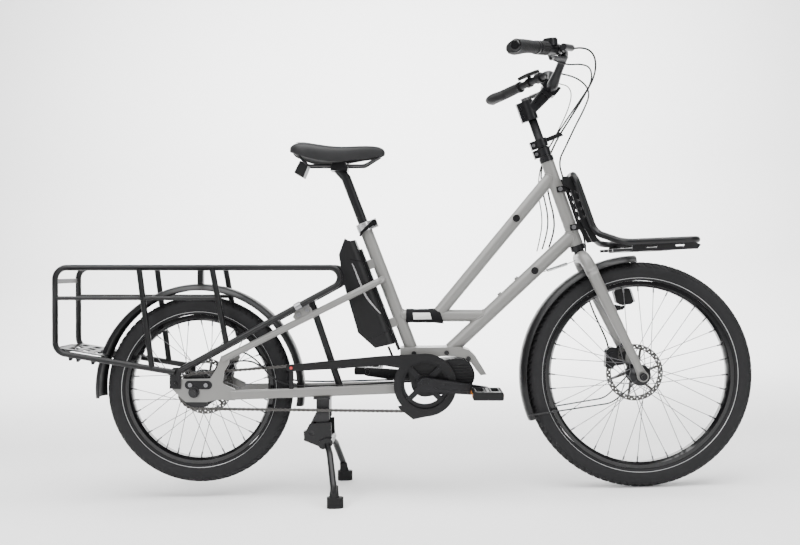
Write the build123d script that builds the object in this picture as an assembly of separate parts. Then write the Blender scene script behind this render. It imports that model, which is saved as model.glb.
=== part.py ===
from build123d import *
import math
import os

# Long-tail cargo bicycle. Every length is in millimetres.
#
# It is laid out in a level bench frame: the rear axle is the origin, X points
# forward, Y points to the rider's left and Z points up. The last section pitches
# it onto its two-leg stand and front tyre, and puts the origin under its middle.

# ---- driving dimensions -------------------------------------------------

# wheels: 24 inch front and 20 inch rear
WHEELBASE = 1222.3
FRONT_AXLE_Z = 44.6
FRONT_TYRE_R = 311.5
FRONT_BEAD_R = 253.5
REAR_TYRE_R = 261.0
REAR_BEAD_R = 203.0
TYRE_HALF_WIDTH = 29.0
RIM_HALF_WIDTH = 18.0
RIM_DEPTH = 11.0
SPOKE_R = 1.0
ROTOR_R = 80.0
FRONT_HUB_HALF = 50.0
REAR_HUB_HALF = 67.5

# steering: points are given along the steering axis, down from the top of the
# head tube, and forward of it at a right angle
HEAD_TOP = (971.0, 635.0)
HEAD_ANGLE = 19.45
HEAD_LENGTH = 246.0
HEAD_R = 18.0
HEAD_BORE_R = 15.5
STEERER_R = 14.3
RUNNING_GAP = 0.05
FORK_CROWN_DROP = 281.0
FORK_LEG_Y = 56.0

# frame tubes
TOP_TUBE_R = 17.5
DOWN_TUBE_R = 19.0
CROSS_TUBE_R = 16.5
SEAT_TUBE_R = 17.5
SEAT_BORE_R = 13.65
SEAT_POST_R = 13.6
SEAT_STAY_R = 9.5
FRAME_WALL = 1.6

# drive
BB = (630.0, 23.4)
CRANK_LENGTH = 165.0
CRANK_SLOPE = -5.7
CHAIN_LINE_Y = -50.0
CHAIN_PITCH = 12.7
CHAINRING_TEETH = 38
SPROCKET_TEETH = 24

# rear rack
RACK_HALF = 80.0
RACK_TUBE_R = 8.0
RACK_TOP_Z = 340.5
RACK_MID_Z = 257.0

# seat tube line
SEAT_TOP = (463.0, 452.0)
SEAT_LOW = (592.0, 116.0)

# stand
STAND_PIVOT = (318.0, -114.0)
STAND_FOOT = (392.0, -292.0)
STAND_FOOT_Y = 149.0


# ---- helpers ------------------------------------------------------------

def rod(start, end, radius):
    """Solid round bar between two points."""
    axis = Vector(*end) - Vector(*start)
    plane = Plane(origin=start, z_dir=axis)
    return plane * Cylinder(radius, axis.length, align=(Align.CENTER, Align.CENTER, Align.MIN))


def tube(start, end, radius, wall):
    """Round tube between two points, open at both ends."""
    return rod(start, end, radius) - rod(start, end, radius - wall)


def cone(start, end, start_radius, end_radius):
    """Tapered round bar between two points."""
    axis = Vector(*end) - Vector(*start)
    plane = Plane(origin=start, z_dir=axis)
    taper = Cone(start_radius, end_radius, axis.length, align=(Align.CENTER, Align.CENTER, Align.MIN))
    return plane * taper


def block(x_span, y_span, z_span, corner=0.0):
    """Box between two limits on each axis, with its upright edges rounded by corner."""
    size = [span[1] - span[0] for span in (x_span, y_span, z_span)]
    middle = [(span[0] + span[1]) / 2 for span in (x_span, y_span, z_span)]
    body = Box(*size)
    if corner:
        body = fillet(body.edges().filter_by(Axis.Z), corner)
    return Pos(*middle) * body


def side_plate(outline, y_span):
    """Flat plate lying in XZ, from a closed list of (x, z) corners, between two Y values."""
    face = make_face(Polyline(*[(x, 0, z) for x, z in outline], close=True))
    thick = y_span[1] - y_span[0]
    return Pos(0, y_span[0], 0) * extrude(face, amount=thick, dir=(0, 1, 0))


def disc(centre, y_span, radius, bore=0.0):
    """Disc or ring on an axle along Y, between two Y values, round an (x, z) centre."""
    ends = [(centre[0], y, centre[1]) for y in y_span]
    body = rod(ends[0], ends[1], radius)
    if bore:
        body -= rod(ends[0], ends[1], bore)
    return body


def spin(profile, centre):
    """Turn a closed (radius, y) outline right round the axle along Y at an (x, z) centre."""
    face = make_face(Polyline(*[(r, y, 0) for r, y in profile], close=True))
    return Pos(centre[0], 0, centre[1]) * revolve(face, Axis.Y)


def bent(points, radii, radius, wall=0.0):
    """Round bar or tube along straight runs joined by arcs."""
    path = FilletPolyline(*points, radius=radii)
    section = Plane(origin=path @ 0, z_dir=path % 0) * Circle(radius)
    body = sweep(section, path)
    if wall:
        inner = Plane(origin=path @ 0, z_dir=path % 0) * Circle(radius - wall)
        body -= sweep(inner, path)
    return body


def rail(points, radii, radius, wall):
    """A bent tube as separate straight runs and elbows that meet face to face."""
    corners = [Vector(*p) for p in points]
    pieces = []
    start = corners[0]
    for before, corner, after, bend in zip(corners, corners[1:], corners[2:], radii):
        came = (corner - before).normalized()
        goes = (after - corner).normalized()
        turn = math.radians(came.get_angle(goes))
        setback = bend * math.tan(turn / 2)
        enter = corner - came * setback
        leave = corner + goes * setback
        pieces.append(tube(tuple(start), tuple(enter), radius, wall))
        normal = came.cross(goes).normalized()
        centre = enter + normal.cross(came) * bend
        ring = Plane(origin=enter, z_dir=came) * (Circle(radius) - Circle(radius - wall))
        pieces.append(revolve(ring, Axis(centre, normal), math.degrees(turn)))
        start = leave
    pieces.append(tube(tuple(start), tuple(corners[-1]), radius, wall))
    return pieces


def mirrored(shape):
    """The same shape on the other side of the bicycle's middle plane."""
    return mirror(shape, about=Plane.XZ)


def group(*shapes):
    """Several solids kept apart in one node."""
    solids = []
    for shape in shapes:
        if isinstance(shape, (list, tuple)):
            for item in shape:
                solids += list(item.solids())
        else:
            solids += list(shape.solids())
    return Compound(children=solids)


def steer(drop, ahead=0.0, y=0.0):
    """Point at a distance down the steering axis and ahead of it."""
    angle = math.radians(HEAD_ANGLE)
    x = HEAD_TOP[0] + drop * math.sin(angle) + ahead * math.cos(angle)
    z = HEAD_TOP[1] - drop * math.cos(angle) + ahead * math.sin(angle)
    return (x, y, z)


def along(start, end, distance):
    """(x, z) point at a distance from start towards end."""
    length = math.dist(start, end)
    t = distance / length
    return (start[0] + (end[0] - start[0]) * t, start[1] + (end[1] - start[1]) * t)


def flat(point, y=0.0):
    """(x, z) point as a point in space."""
    return (point[0], y, point[1])


def socket_screw(centre, direction, head_r=4.2, head_h=4.0, shank_r=2.5, shank=9.0):
    """Cap screw whose head sits on centre and points along direction, with a hex socket."""
    plane = Plane(origin=centre, z_dir=direction)
    head = plane * Cylinder(head_r, head_h, align=(Align.CENTER, Align.CENTER, Align.MIN))
    socket = Plane(origin=centre, z_dir=direction).offset(head_h - 2.2) * extrude(
        RegularPolygon(head_r * 0.5, 6), 2.2)
    body = head - socket
    if shank:
        body += plane * Cylinder(shank_r, shank, align=(Align.CENTER, Align.CENTER, Align.MAX))
    return body


parts = {}


# ---- wheels -------------------------------------------------------------

def tyre(centre, bead_r, outer_r):
    """Hollow tyre shell, open at the inside where the rim closes it."""
    middle = (bead_r + outer_r) / 2
    shell = Torus(middle, TYRE_HALF_WIDTH) - Torus(middle, TYRE_HALF_WIDTH - 3.5)
    shell -= Cylinder(bead_r + 6, 4 * TYRE_HALF_WIDTH)
    return Pos(centre[0], 0, centre[1]) * Rot(90, 0, 0) * shell


def rim(centre, bead_r):
    """Shallow alloy rim with two flanges that hold the tyre."""
    inner = bead_r - RIM_DEPTH
    half = RIM_HALF_WIDTH
    outline = [
        (inner, -9), (inner, 9), (bead_r - 4, half), (bead_r + 6, half),
        (bead_r + 6, half - 2.5), (bead_r, half - 2.5), (bead_r - 3, 7),
        (bead_r - 3, -7), (bead_r, 2.5 - half), (bead_r + 6, 2.5 - half),
        (bead_r + 6, -half), (bead_r - 4, -half),
    ]
    return spin(outline, centre)


def spokes(centre, rim_r, flange_r, flange_ys, count, lean_deg):
    """Crossed spokes with their nipples, half of them to each hub flange."""
    result = []
    nipple = 12.0
    for i in range(count):
        side = i % 2
        direction = 1 if side else -1
        leading = 1 if (i // 2) % 2 else -1
        rim_angle = math.radians(360 * i / count)
        hub_angle = rim_angle + math.radians(lean_deg * leading)
        hub_y = flange_ys[side] + 2.2 * leading * direction
        start = Vector(centre[0] + flange_r * math.cos(hub_angle), hub_y,
                       centre[1] + flange_r * math.sin(hub_angle))
        end = Vector(centre[0] + (rim_r - 0.6) * math.cos(rim_angle), 4 * direction + leading * direction,
                     centre[1] + (rim_r - 0.6) * math.sin(rim_angle))
        length = (end - start).length
        outline = Polyline((0, 0), (SPOKE_R, 0), (SPOKE_R, length - nipple), (2.1, length - nipple),
                           (2.1, length), (0, length), close=True)
        turned = revolve(make_face(Plane.XZ * outline), Axis.Z)
        result.append(Plane(origin=start, z_dir=end - start) * turned)
    return result


def rotor(centre, y_span):
    """Vented brake rotor: a drilled band on curved-back arms round a carrier."""
    band = Circle(ROTOR_R) - Circle(ROTOR_R - 14)
    band -= PolarLocations(ROTOR_R - 4.5, 30) * Circle(1.9)
    band -= Rot(0, 0, 6) * PolarLocations(ROTOR_R - 9.5, 30) * Circle(1.9)
    arm = make_face(Polyline((20, -4), (ROTOR_R - 12, 16), (ROTOR_R - 12, 23), (20, 5), close=True))
    carrier = Circle(26) - Circle(17.5)
    carrier -= PolarLocations(22, 6) * Circle(2.6)
    face = band + carrier + [Rot(0, 0, 60 * i) * arm for i in range(6)]
    face -= Circle(17.5)
    plate = extrude(Plane.XZ * face, amount=(y_span[1] - y_span[0]) / 2, both=True)
    return Pos(centre[0], (y_span[0] + y_span[1]) / 2, centre[1]) * plate


front_axle = (WHEELBASE, FRONT_AXLE_Z)
rear_axle = (0.0, 0.0)
AXLE_R = 6.0
FRONT_FLANGES = (-27.0, 20.0)
FRONT_FLANGE_R = 29.0
REAR_FLANGES = (-31.0, 31.0)
REAR_FLANGE_R = 51.0
ROTOR_HALF_THICK = 0.9
FRONT_ROTOR_Y = 38.5
REAR_ROTOR_Y = 51.0

parts["front_tyre"] = tyre(front_axle, FRONT_BEAD_R, FRONT_TYRE_R)
parts["front_rim"] = rim(front_axle, FRONT_BEAD_R)
parts["front_spokes"] = group(spokes(front_axle, FRONT_BEAD_R - RIM_DEPTH, FRONT_FLANGE_R + 1.0,
                                     FRONT_FLANGES, 36, 58))
parts["rear_tyre"] = tyre(rear_axle, REAR_BEAD_R, REAR_TYRE_R)
parts["rear_rim"] = rim(rear_axle, REAR_BEAD_R)
parts["rear_spokes"] = group(spokes(rear_axle, REAR_BEAD_R - RIM_DEPTH, REAR_FLANGE_R + 1.0,
                                    REAR_FLANGES, 36, 34))

# hub shells turn on the fork's and the frame's axles
front_shell = [
    (AXLE_R + RUNNING_GAP, -48.5), (13, -48.5), (13, -40), (17, -36), (FRONT_FLANGE_R, -28.6),
    (FRONT_FLANGE_R, -25.4), (17, -21), (14.5, -14), (14.5, 10), (17, 16), (FRONT_FLANGE_R, 18.4),
    (FRONT_FLANGE_R, 21.6), (19, 25), (19, 36), (17.3, 36), (17.3, 41), (13, 41), (13, 48.5),
    (AXLE_R + RUNNING_GAP, 48.5),
]
rear_shell = [
    (AXLE_R + RUNNING_GAP, -58), (21.95, -58), (21.95, -43.8), (38, -40), (REAR_FLANGE_R, -32.6),
    (REAR_FLANGE_R, -29.4), (43, -26), (43, 26), (REAR_FLANGE_R, 29.4), (REAR_FLANGE_R, 32.6),
    (38, 38), (24, 44), (19, 49), (17.3, 49), (17.3, 54), (14, 54), (14, 62), (AXLE_R + RUNNING_GAP, 62),
]
parts["front_hub"] = spin(front_shell, front_axle)
parts["rear_hub"] = spin(rear_shell, rear_axle)
parts["front_rotor"] = rotor(front_axle,
                             (FRONT_ROTOR_Y - ROTOR_HALF_THICK, FRONT_ROTOR_Y + ROTOR_HALF_THICK))
parts["rear_rotor"] = rotor(rear_axle, (REAR_ROTOR_Y - ROTOR_HALF_THICK, REAR_ROTOR_Y + ROTOR_HALF_THICK))


# ---- chain drive --------------------------------------------------------

def pitch_radius(teeth):
    """Pitch circle of a chain wheel."""
    return CHAIN_PITCH / (2 * math.sin(math.pi / teeth))


def chain_wheel(teeth, bore_r):
    """Flat toothed face of a chain wheel: rounded gaps cut into a disc."""
    pitch_r = pitch_radius(teeth)
    blank = Circle(pitch_r + 3.6) - Circle(bore_r)
    gaps = PolarLocations(pitch_r, teeth) * Circle(4.1)
    tips = PolarLocations(pitch_r + 4.6, teeth) * Circle(4.6)
    return blank - gaps - tips


def chain_plate(y_span):
    """One side of the chain as a continuous strip round both chain wheels."""
    rear_r = pitch_radius(SPROCKET_TEETH)
    front_r = pitch_radius(CHAINRING_TEETH)
    centres = math.dist(rear_axle, BB)
    line = math.degrees(math.atan2(BB[1], BB[0]))
    flare = math.degrees(math.asin((front_r - rear_r) / centres))
    faces = []
    for grow in (4.2, -4.2):
        up = math.radians(line + 90 + flare)
        down = math.radians(line - 90 - flare)
        rear_top = (rear_axle[0] + (rear_r + grow) * math.cos(up), (rear_r + grow) * math.sin(up))
        rear_low = (rear_axle[0] + (rear_r + grow) * math.cos(down), (rear_r + grow) * math.sin(down))
        front_top = (BB[0] + (front_r + grow) * math.cos(up), BB[1] + (front_r + grow) * math.sin(up))
        front_low = (BB[0] + (front_r + grow) * math.cos(down), BB[1] + (front_r + grow) * math.sin(down))
        back = (rear_axle[0] - (rear_r + grow), 0)
        nose = (BB[0] + (front_r + grow) * math.cos(math.radians(line)),
                BB[1] + (front_r + grow) * math.sin(math.radians(line)))
        outline = Wire([
            Line(rear_top, front_top), ThreePointArc(front_top, nose, front_low),
            Line(front_low, rear_low), ThreePointArc(rear_low, back, rear_top),
        ])
        faces.append(make_face(outline))
    strip = faces[0] - faces[1]
    solid = extrude(Plane.XZ * strip, amount=(y_span[1] - y_span[0]) / 2, both=True)
    return Pos(0, (y_span[0] + y_span[1]) / 2, 0) * solid


CHAIN_WHEEL_HALF = 1.2
sprocket_face = Plane.XZ * chain_wheel(SPROCKET_TEETH, 22.0)
sprocket = Pos(0, CHAIN_LINE_Y, 0) * extrude(sprocket_face, amount=CHAIN_WHEEL_HALF, both=True)
sprocket_hub = disc(rear_axle, (CHAIN_LINE_Y - CHAIN_WHEEL_HALF, -44.2), 27.0, 22.0)
parts["rear_sprocket"] = sprocket + sprocket_hub
ring_face = chain_wheel(CHAINRING_TEETH, 56.0) - PolarLocations(60.5, 4) * Circle(4.0)
ring = extrude(Plane.XZ * ring_face, amount=CHAIN_WHEEL_HALF, both=True)
parts["chainring"] = Pos(BB[0], CHAIN_LINE_Y, BB[1]) * Rot(0, 45, 0) * ring
parts["chain"] = group(chain_plate((CHAIN_LINE_Y - 4.1, CHAIN_LINE_Y - 2.6)),
                       chain_plate((CHAIN_LINE_Y + 2.6, CHAIN_LINE_Y + 4.1)))

CRANK_AXLE_R = 11.0
CRANK_Y = (69.5, 82.0)


def crank_arm(y_sign, angle_deg):
    """Forged crank arm: wide at the axle, narrower at the pedal."""
    small_x = CRANK_LENGTH
    outline = make_hull([Circle(19).edge(), Pos(small_x, 0) * Circle(12.5).edge()])
    outline -= Pos(small_x, 0) * Circle(7.0)
    arm = extrude(Plane.XZ * outline, amount=(CRANK_Y[1] - CRANK_Y[0]) / 2, both=True)
    groove = make_hull([Pos(35, 0) * Circle(8).edge(), Pos(130, 0) * Circle(6).edge()])
    outer = y_sign * (CRANK_Y[1] - CRANK_Y[0]) / 2
    arm -= Pos(0, outer, 0) * extrude(Plane.XZ * groove, amount=1.6, both=True)
    return Pos(BB[0], y_sign * (CRANK_Y[0] + CRANK_Y[1]) / 2, BB[1]) * Rot(0, -angle_deg, 0) * arm


axle_bar = disc(BB, (-CRANK_Y[1] - 1.5, CRANK_Y[1] + 1.5), CRANK_AXLE_R)
right_arm = crank_arm(-1, CRANK_SLOPE)
left_arm = crank_arm(1, CRANK_SLOPE + 180)
spider_face = Circle(25) + [Rot(0, 0, 90 * i) * Pos(32, 0) * Rectangle(66, 15) for i in range(4)]
spider_face += PolarLocations(60.5, 4) * Circle(8.5)
spider_face -= PolarLocations(60.5, 4) * Circle(4.0)
spider_face -= Circle(CRANK_AXLE_R)
spider = extrude(Plane.XZ * spider_face, amount=1.6, both=True)
spider = Pos(BB[0], CHAIN_LINE_Y - CHAIN_WHEEL_HALF - 1.6, BB[1]) * Rot(0, 45, 0) * spider
boss = disc(BB, (-CRANK_Y[0], CHAIN_LINE_Y - CHAIN_WHEEL_HALF - 3.2), 19.0, CRANK_AXLE_R)
parts["crankset"] = axle_bar + right_arm + left_arm + boss + spider
ring_bolts = []
for turn in range(4):
    angle = math.radians(45 + 90 * turn)
    spot = (BB[0] + 60.5 * math.cos(angle), BB[1] + 60.5 * math.sin(angle))
    bolt = disc(spot, (CHAIN_LINE_Y - 4.4, CHAIN_LINE_Y + 1.2), 3.9)
    bolt += disc(spot, (CHAIN_LINE_Y - 6.2, CHAIN_LINE_Y - 4.4), 6.0)
    ring_bolts.append(bolt)
parts["chainring_bolts"] = group(ring_bolts)


def pedal_at(y_sign, angle_deg):
    """Platform pedal: a spindle in the crank, and a caged body that turns on it."""
    angle = math.radians(angle_deg)
    centre = (BB[0] + CRANK_LENGTH * math.cos(angle), BB[1] + CRANK_LENGTH * math.sin(angle))
    inner = CRANK_Y[1] + 4.0
    outer = inner + 92.0
    near, far = sorted((y_sign * inner, y_sign * outer))
    frame = block((-40, 40), (near, far), (-11, 11))
    frame = fillet(frame.edges().filter_by(Axis.Y), 5.0)
    frame -= block((-30, -10), (near + 14, far - 12), (-20, 20))
    frame -= block((10, 30), (near + 14, far - 12), (-20, 20))
    for x in (-34.5, -5.5, 5.5, 34.5):
        for step in range(5):
            y = near + 16 + step * (far - near - 32) / 4
            frame += Pos(x, y, 0) * Cylinder(2.2, 25.0)
    body = Pos(centre[0], 0, centre[1]) * frame
    body -= disc(centre, sorted((y_sign * (inner - 30), y_sign * (outer - 8))), 6.5 + RUNNING_GAP)
    spindle = disc(centre, sorted((y_sign * CRANK_Y[0], y_sign * (outer - 10))), 6.5)
    collar = disc(centre, sorted((y_sign * CRANK_Y[1], y_sign * (CRANK_Y[1] + 3))), 9.5, 6.5)
    return body, spindle + collar


right_pedal, right_spindle = pedal_at(-1, CRANK_SLOPE)
left_pedal, left_spindle = pedal_at(1, CRANK_SLOPE + 180)
parts["pedal_right"] = right_pedal
parts["pedal_left"] = left_pedal
parts["pedal_spindles"] = group(right_spindle, left_spindle)


# ---- frame --------------------------------------------------------------

STAY_Y = 58.0
DROPOUT_Y = (REAR_HUB_HALF, REAR_HUB_HALF + 6.0)
HEAD_LOW = steer(HEAD_LENGTH)
TOP_TUBE_HIGH = (984.4, 597.0)
TOP_TUBE_LOW = (662.8, 206.5)
DOWN_TUBE_HIGH = (1042.8, 431.9)
DOWN_TUBE_LOW = (702.0, 112.0)
CROSS_REAR = (557.0, 206.5)
CROSS_FRONT = (803.0, 206.5)

head_core = rod(steer(0), HEAD_LOW, HEAD_R)
head_tube = head_core - rod(steer(-5), steer(HEAD_LENGTH + 5), HEAD_BORE_R)
seat_core = rod(flat(SEAT_TOP), flat(SEAT_LOW), SEAT_TUBE_R)
seat_tube = seat_core - rod(flat(along(SEAT_TOP, SEAT_LOW, -5)), flat(SEAT_LOW), SEAT_BORE_R)
down_core = rod(flat(DOWN_TUBE_HIGH), flat(DOWN_TUBE_LOW), DOWN_TUBE_R)
cross_core = rod(flat(CROSS_REAR), flat(CROSS_FRONT), CROSS_TUBE_R)
top_core = rod(flat(TOP_TUBE_HIGH), flat(TOP_TUBE_LOW), TOP_TUBE_R)

# the drive unit hangs under a pressed bracket that the down tube and seat tube reach
MOTOR_SKIN_Y = 34.0
BRACKET_TOP = [(562, 119), (726, 121), (752, 113), (770, 96), (797, 52), (800, 46),
               (783, 44), (757, 78), (738, 92), (706, 97), (600, 92), (562, 60)]
bracket_solid = side_plate(BRACKET_TOP, (-MOTOR_SKIN_Y, MOTOR_SKIN_Y))
down_tube = down_core - rod(flat(DOWN_TUBE_HIGH), flat(along(DOWN_TUBE_LOW, DOWN_TUBE_HIGH, -40)),
                            DOWN_TUBE_R - FRAME_WALL)
down_tube = down_tube - head_core - bracket_solid
seat_tube -= bracket_solid
cross_tube = cross_core - rod(flat(CROSS_REAR), flat(CROSS_FRONT), CROSS_TUBE_R - FRAME_WALL)
cross_tube = cross_tube - seat_core - down_core
top_tube = top_core - rod(flat(TOP_TUBE_HIGH), flat(TOP_TUBE_LOW), TOP_TUBE_R - FRAME_WALL)
top_tube = top_tube - head_core - cross_core


def biggest(shape):
    """The largest solid of a shape, so that a cut leaves no crumbs."""
    return max(shape.solids(), key=lambda solid: solid.volume)


parts["head_tube"] = head_tube
parts["seat_tube"] = biggest(seat_tube)
parts["down_tube"] = biggest(down_tube)
parts["cross_tube"] = biggest(cross_tube)
parts["top_tube"] = biggest(top_tube)

# a stay on each side runs from the dropout, past the battery, into the seat tube
STAY_LOW = (78.0, -DROPOUT_Y[0] - 3.0, 90.0)
STAY_CORNER = (501.0, -STAY_Y, 301.5)
STAY_END = (517.0, 0.0, 309.0)
stay_path = [STAY_LOW, STAY_CORNER, STAY_END]
right_stay = bent(stay_path, [24.0], SEAT_STAY_R, 1.4) - seat_core
right_stay = biggest(right_stay)
parts["seat_stay_right"] = right_stay
parts["seat_stay_left"] = mirrored(right_stay)

CHAIN_STAY_HALF_HIGH = 13.0
CHAIN_STAY_HALF_WIDE = 8.0
CHAIN_STAY_LOW = (100.0, -DROPOUT_Y[0] - 2.0, -8.0)
CHAIN_STAY_CORNER = (330.0, -46.0, -2.0)
CHAIN_STAY_END = (562.0, -33.0, 6.0)
stay_path = FilletPolyline(CHAIN_STAY_LOW, CHAIN_STAY_CORNER, CHAIN_STAY_END, radius=[300.0])
stay_plane = Plane(origin=stay_path @ 0, x_dir=(0, 1, 0), z_dir=stay_path % 0)
stay_section = RectangleRounded(2 * CHAIN_STAY_HALF_WIDE, 2 * CHAIN_STAY_HALF_HIGH, 7.0)
stay_hollow = RectangleRounded(2 * CHAIN_STAY_HALF_WIDE - 3.0, 2 * CHAIN_STAY_HALF_HIGH - 3.0, 5.5)
right_chain_stay = sweep(stay_plane * stay_section, stay_path) - sweep(stay_plane * stay_hollow, stay_path)
STAY_BRIDGE = (393.0, 2.0)
bridge = rod(flat(STAY_BRIDGE, -70), flat(STAY_BRIDGE, 70), 9.0)
stay_solid = sweep(stay_plane * stay_section, stay_path)
bridge = biggest(bridge - stay_solid - mirrored(stay_solid))
parts["chain_stay_right"] = right_chain_stay
parts["chain_stay_left"] = mirrored(right_chain_stay)
parts["chain_stay_bridge"] = bridge

# dropouts: a forked plate on each side, with a bolted sliding insert that holds the axle
dropout_outline = [
    (-60, 8), (-58, 30), (-34, 36), (44, 37), (62, 66), (74, 100), (92, 100), (96, 80), (82, 56),
    (78, 24), (112, 8), (112, -22), (62, -20), (34, -27), (-24, -27), (-40, -12),
]
insert_outline = make_hull([Pos(-14, 0) * Circle(11.5).edge(), Pos(38, 0) * Circle(11.5).edge()])
INSERT_Z = 20.0
slot = Pos(0, 0, INSERT_Z) * extrude(Plane.XZ * insert_outline, amount=120, both=True)
stay_ends = rod(STAY_LOW, STAY_CORNER, SEAT_STAY_R) + stay_solid
dropout = side_plate(dropout_outline, (-DROPOUT_Y[1], -DROPOUT_Y[0]))
axle_slot = disc(rear_axle, (-DROPOUT_Y[1], -DROPOUT_Y[0]), AXLE_R)
right_dropout = biggest(dropout - slot - axle_slot - stay_ends)
right_insert = Pos(0, 0, INSERT_Z) * extrude(Plane.XZ * insert_outline, amount=3.6, both=True)
right_insert = Pos(0, -DROPOUT_Y[0] - 3.6, 0) * right_insert
right_insert -= axle_slot
insert_bolts = [socket_screw((x, -DROPOUT_Y[0] - 7.2, INSERT_Z), (0, -1, 0), 5.5, 4.5, 0, 0) for x in (-10,
                                                                                                       33)]
parts["dropout_right"] = right_dropout
parts["dropout_left"] = mirrored(right_dropout)
parts["dropout_inserts"] = group(right_insert, mirrored(right_insert), insert_bolts,
                                 [mirrored(bolt) for bolt in insert_bolts])
rear_axle_bar = disc(rear_axle, (-86, 86), AXLE_R)
axle_nuts = []
for y_sign in (-1, 1):
    washer = disc(rear_axle, sorted((y_sign * 74.8, y_sign * 77.3)), 15.0, AXLE_R)
    nut_face = Plane.XZ * (RegularPolygon(10.5, 6) - Circle(AXLE_R))
    nut = Pos(0, y_sign * 81.3, 0) * extrude(nut_face, amount=4.0, both=True)
    spacer = disc(rear_axle, sorted((y_sign * 62.5, y_sign * REAR_HUB_HALF)), 12.0, AXLE_R)
    axle_nuts += [washer, nut, spacer]
parts["rear_axle"] = group(rear_axle_bar, axle_nuts)

bracket_hollow = [(566, 58), (566, 115), (725, 117), (749, 109), (766, 93), (792, 47), (783, 40),
                  (757, 76), (738, 90), (706, 95), (600, 90)]
bracket_skin = bracket_solid - side_plate(bracket_hollow, (3 - MOTOR_SKIN_Y, MOTOR_SKIN_Y - 3))
bracket_skin -= seat_core
parts["motor_bracket"] = biggest(bracket_skin)
bracket_bolts = []
for x, z in ((750, 90), (600, 104), (690, 106)):
    bracket_bolts.append(socket_screw((x, -MOTOR_SKIN_Y, z), (0, -1, 0), 6.5, 5.0, 0, 0))
    bracket_bolts.append(socket_screw((x, MOTOR_SKIN_Y, z), (0, 1, 0), 6.5, 5.0, 0, 0))

UNIT_Y = (-44.0, 48.0)
MOTOR_CENTRE = (722.0, 45.0)
unit_outline = make_hull([
    Pos(BB[0], BB[1]) * Circle(38).edge(), Pos(604, 56) * Circle(20).edge(),
    Pos(*MOTOR_CENTRE) * Circle(45).edge(), Pos(690, 70) * Circle(16).edge(),
])
unit = extrude(Plane.XZ * unit_outline, amount=(UNIT_Y[1] - UNIT_Y[0]) / 2, both=True)
unit = Pos(0, (UNIT_Y[0] + UNIT_Y[1]) / 2, 0) * unit
unit -= disc(BB, (-60, 60), CRANK_AXLE_R + RUNNING_GAP)
for step in range(8):
    z = MOTOR_CENTRE[1] - 28 + 8 * step
    for y in (UNIT_Y[0], UNIT_Y[1]):
        unit -= block((700, 790), (y - 2.5, y + 2.5), (z - 1.4, z + 1.4))
parts["drive_unit"] = unit
cover = disc(BB, (UNIT_Y[0] - 1.6, UNIT_Y[0]), 33, 20) + disc((655, 52), (UNIT_Y[0] - 1.6, UNIT_Y[0]), 9)
parts["drive_unit_cover"] = group(cover)

# chain guard: ring round the chainring, an arm over the chain and a tail below
GUARD_CENTRE = (631.0, 20.0)
GUARD_Y = (-61.0, -58.5)
guard = disc(GUARD_CENTRE, GUARD_Y, 86.0)
guard += side_plate([(248, 60), (251, 74), (400, 89), (508, 99), (622, 105.5), (600, 60), (508, 74),
                     (400, 64), (262, 56)], GUARD_Y)
guard += side_plate([(556, -38), (560, -45), (598, -74), (645, -64), (600, -30)], GUARD_Y)
guard -= disc(GUARD_CENTRE, GUARD_Y, 65.5)
lip = disc(GUARD_CENTRE, (GUARD_Y[0], -46.0), 86.0, 84.0) & block((632, 760), (-70, -40), (-60, 80))
guard += lip
parts["chain_guard"] = biggest(guard)
guard_tab = block((258, 270), (GUARD_Y[1], -55.5), (8, 66)) - stay_solid
guard_dot = disc((264, 66), (-63.0, -61.0), 4.0)
parts["chain_guard_tab"] = group(biggest(guard_tab), guard_dot)

# a cloth sleeve wraps the cross tube
sleeve_outline = [(579, 224), (600, 225), (640, 227), (667, 233), (674, 206), (680, 180), (640, 184),
                  (600, 185), (577, 188)]
sleeve = side_plate(sleeve_outline, (-20.5, 20.5))
sleeve = sleeve & rod((560, 0, 205.5), (700, 0, 205.5), 27.0)
sleeve = sleeve - cross_core - top_core - seat_core
parts["frame_sleeve"] = biggest(sleeve)

# plugs and bosses on the frame tubes
plugs = []
for x, z in ((883, 477), (934, 332)):
    for y_sign in (-1, 1):
        plug = disc((x, z), sorted((y_sign * 12, y_sign * 21.5)), 10.0)
        plug += disc((x, z), sorted((y_sign * 21.5, y_sign * 23.5)), 6.5)
        plugs.append(plug - top_core - down_core)
parts["frame_plugs"] = group(plugs)
tube_x = DOWN_TUBE_HIGH[0] - DOWN_TUBE_LOW[0]
tube_z = DOWN_TUBE_HIGH[1] - DOWN_TUBE_LOW[1]
tube_length = math.hypot(tube_x, tube_z)
boss_normal = (-tube_z / tube_length, 0, tube_x / tube_length)
BOSS_AT = (198.0, 262.0)
BOSS_HOLE_R = 2.5
BOSS_HIGH = 4.0
bosses = []
for distance in BOSS_AT:
    foot = along(DOWN_TUBE_HIGH, DOWN_TUBE_LOW, distance)
    base = (foot[0] + boss_normal[0] * (DOWN_TUBE_R - 3), 0, foot[1] + boss_normal[2] * (DOWN_TUBE_R - 3))
    mouth = (foot[0] + boss_normal[0] * (DOWN_TUBE_R + BOSS_HIGH), 0,
             foot[1] + boss_normal[2] * (DOWN_TUBE_R + BOSS_HIGH))
    bosses.append(rod(base, mouth, 6.0) - down_core - rod(base, mouth, BOSS_HOLE_R))
parts["bottle_bosses"] = group(bosses)

# battery and its rail behind the seat tube
seat_length = math.dist(SEAT_TOP, SEAT_LOW)
seat_dir = ((SEAT_LOW[0] - SEAT_TOP[0]) / seat_length, (SEAT_LOW[1] - SEAT_TOP[1]) / seat_length)


def seat_point(down, behind=0.0):
    """(x, z) point at a distance down the seat tube's line and behind it."""
    return (SEAT_TOP[0] + down * seat_dir[0] + behind * seat_dir[1],
            SEAT_TOP[1] + down * seat_dir[1] - behind * seat_dir[0])


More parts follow.
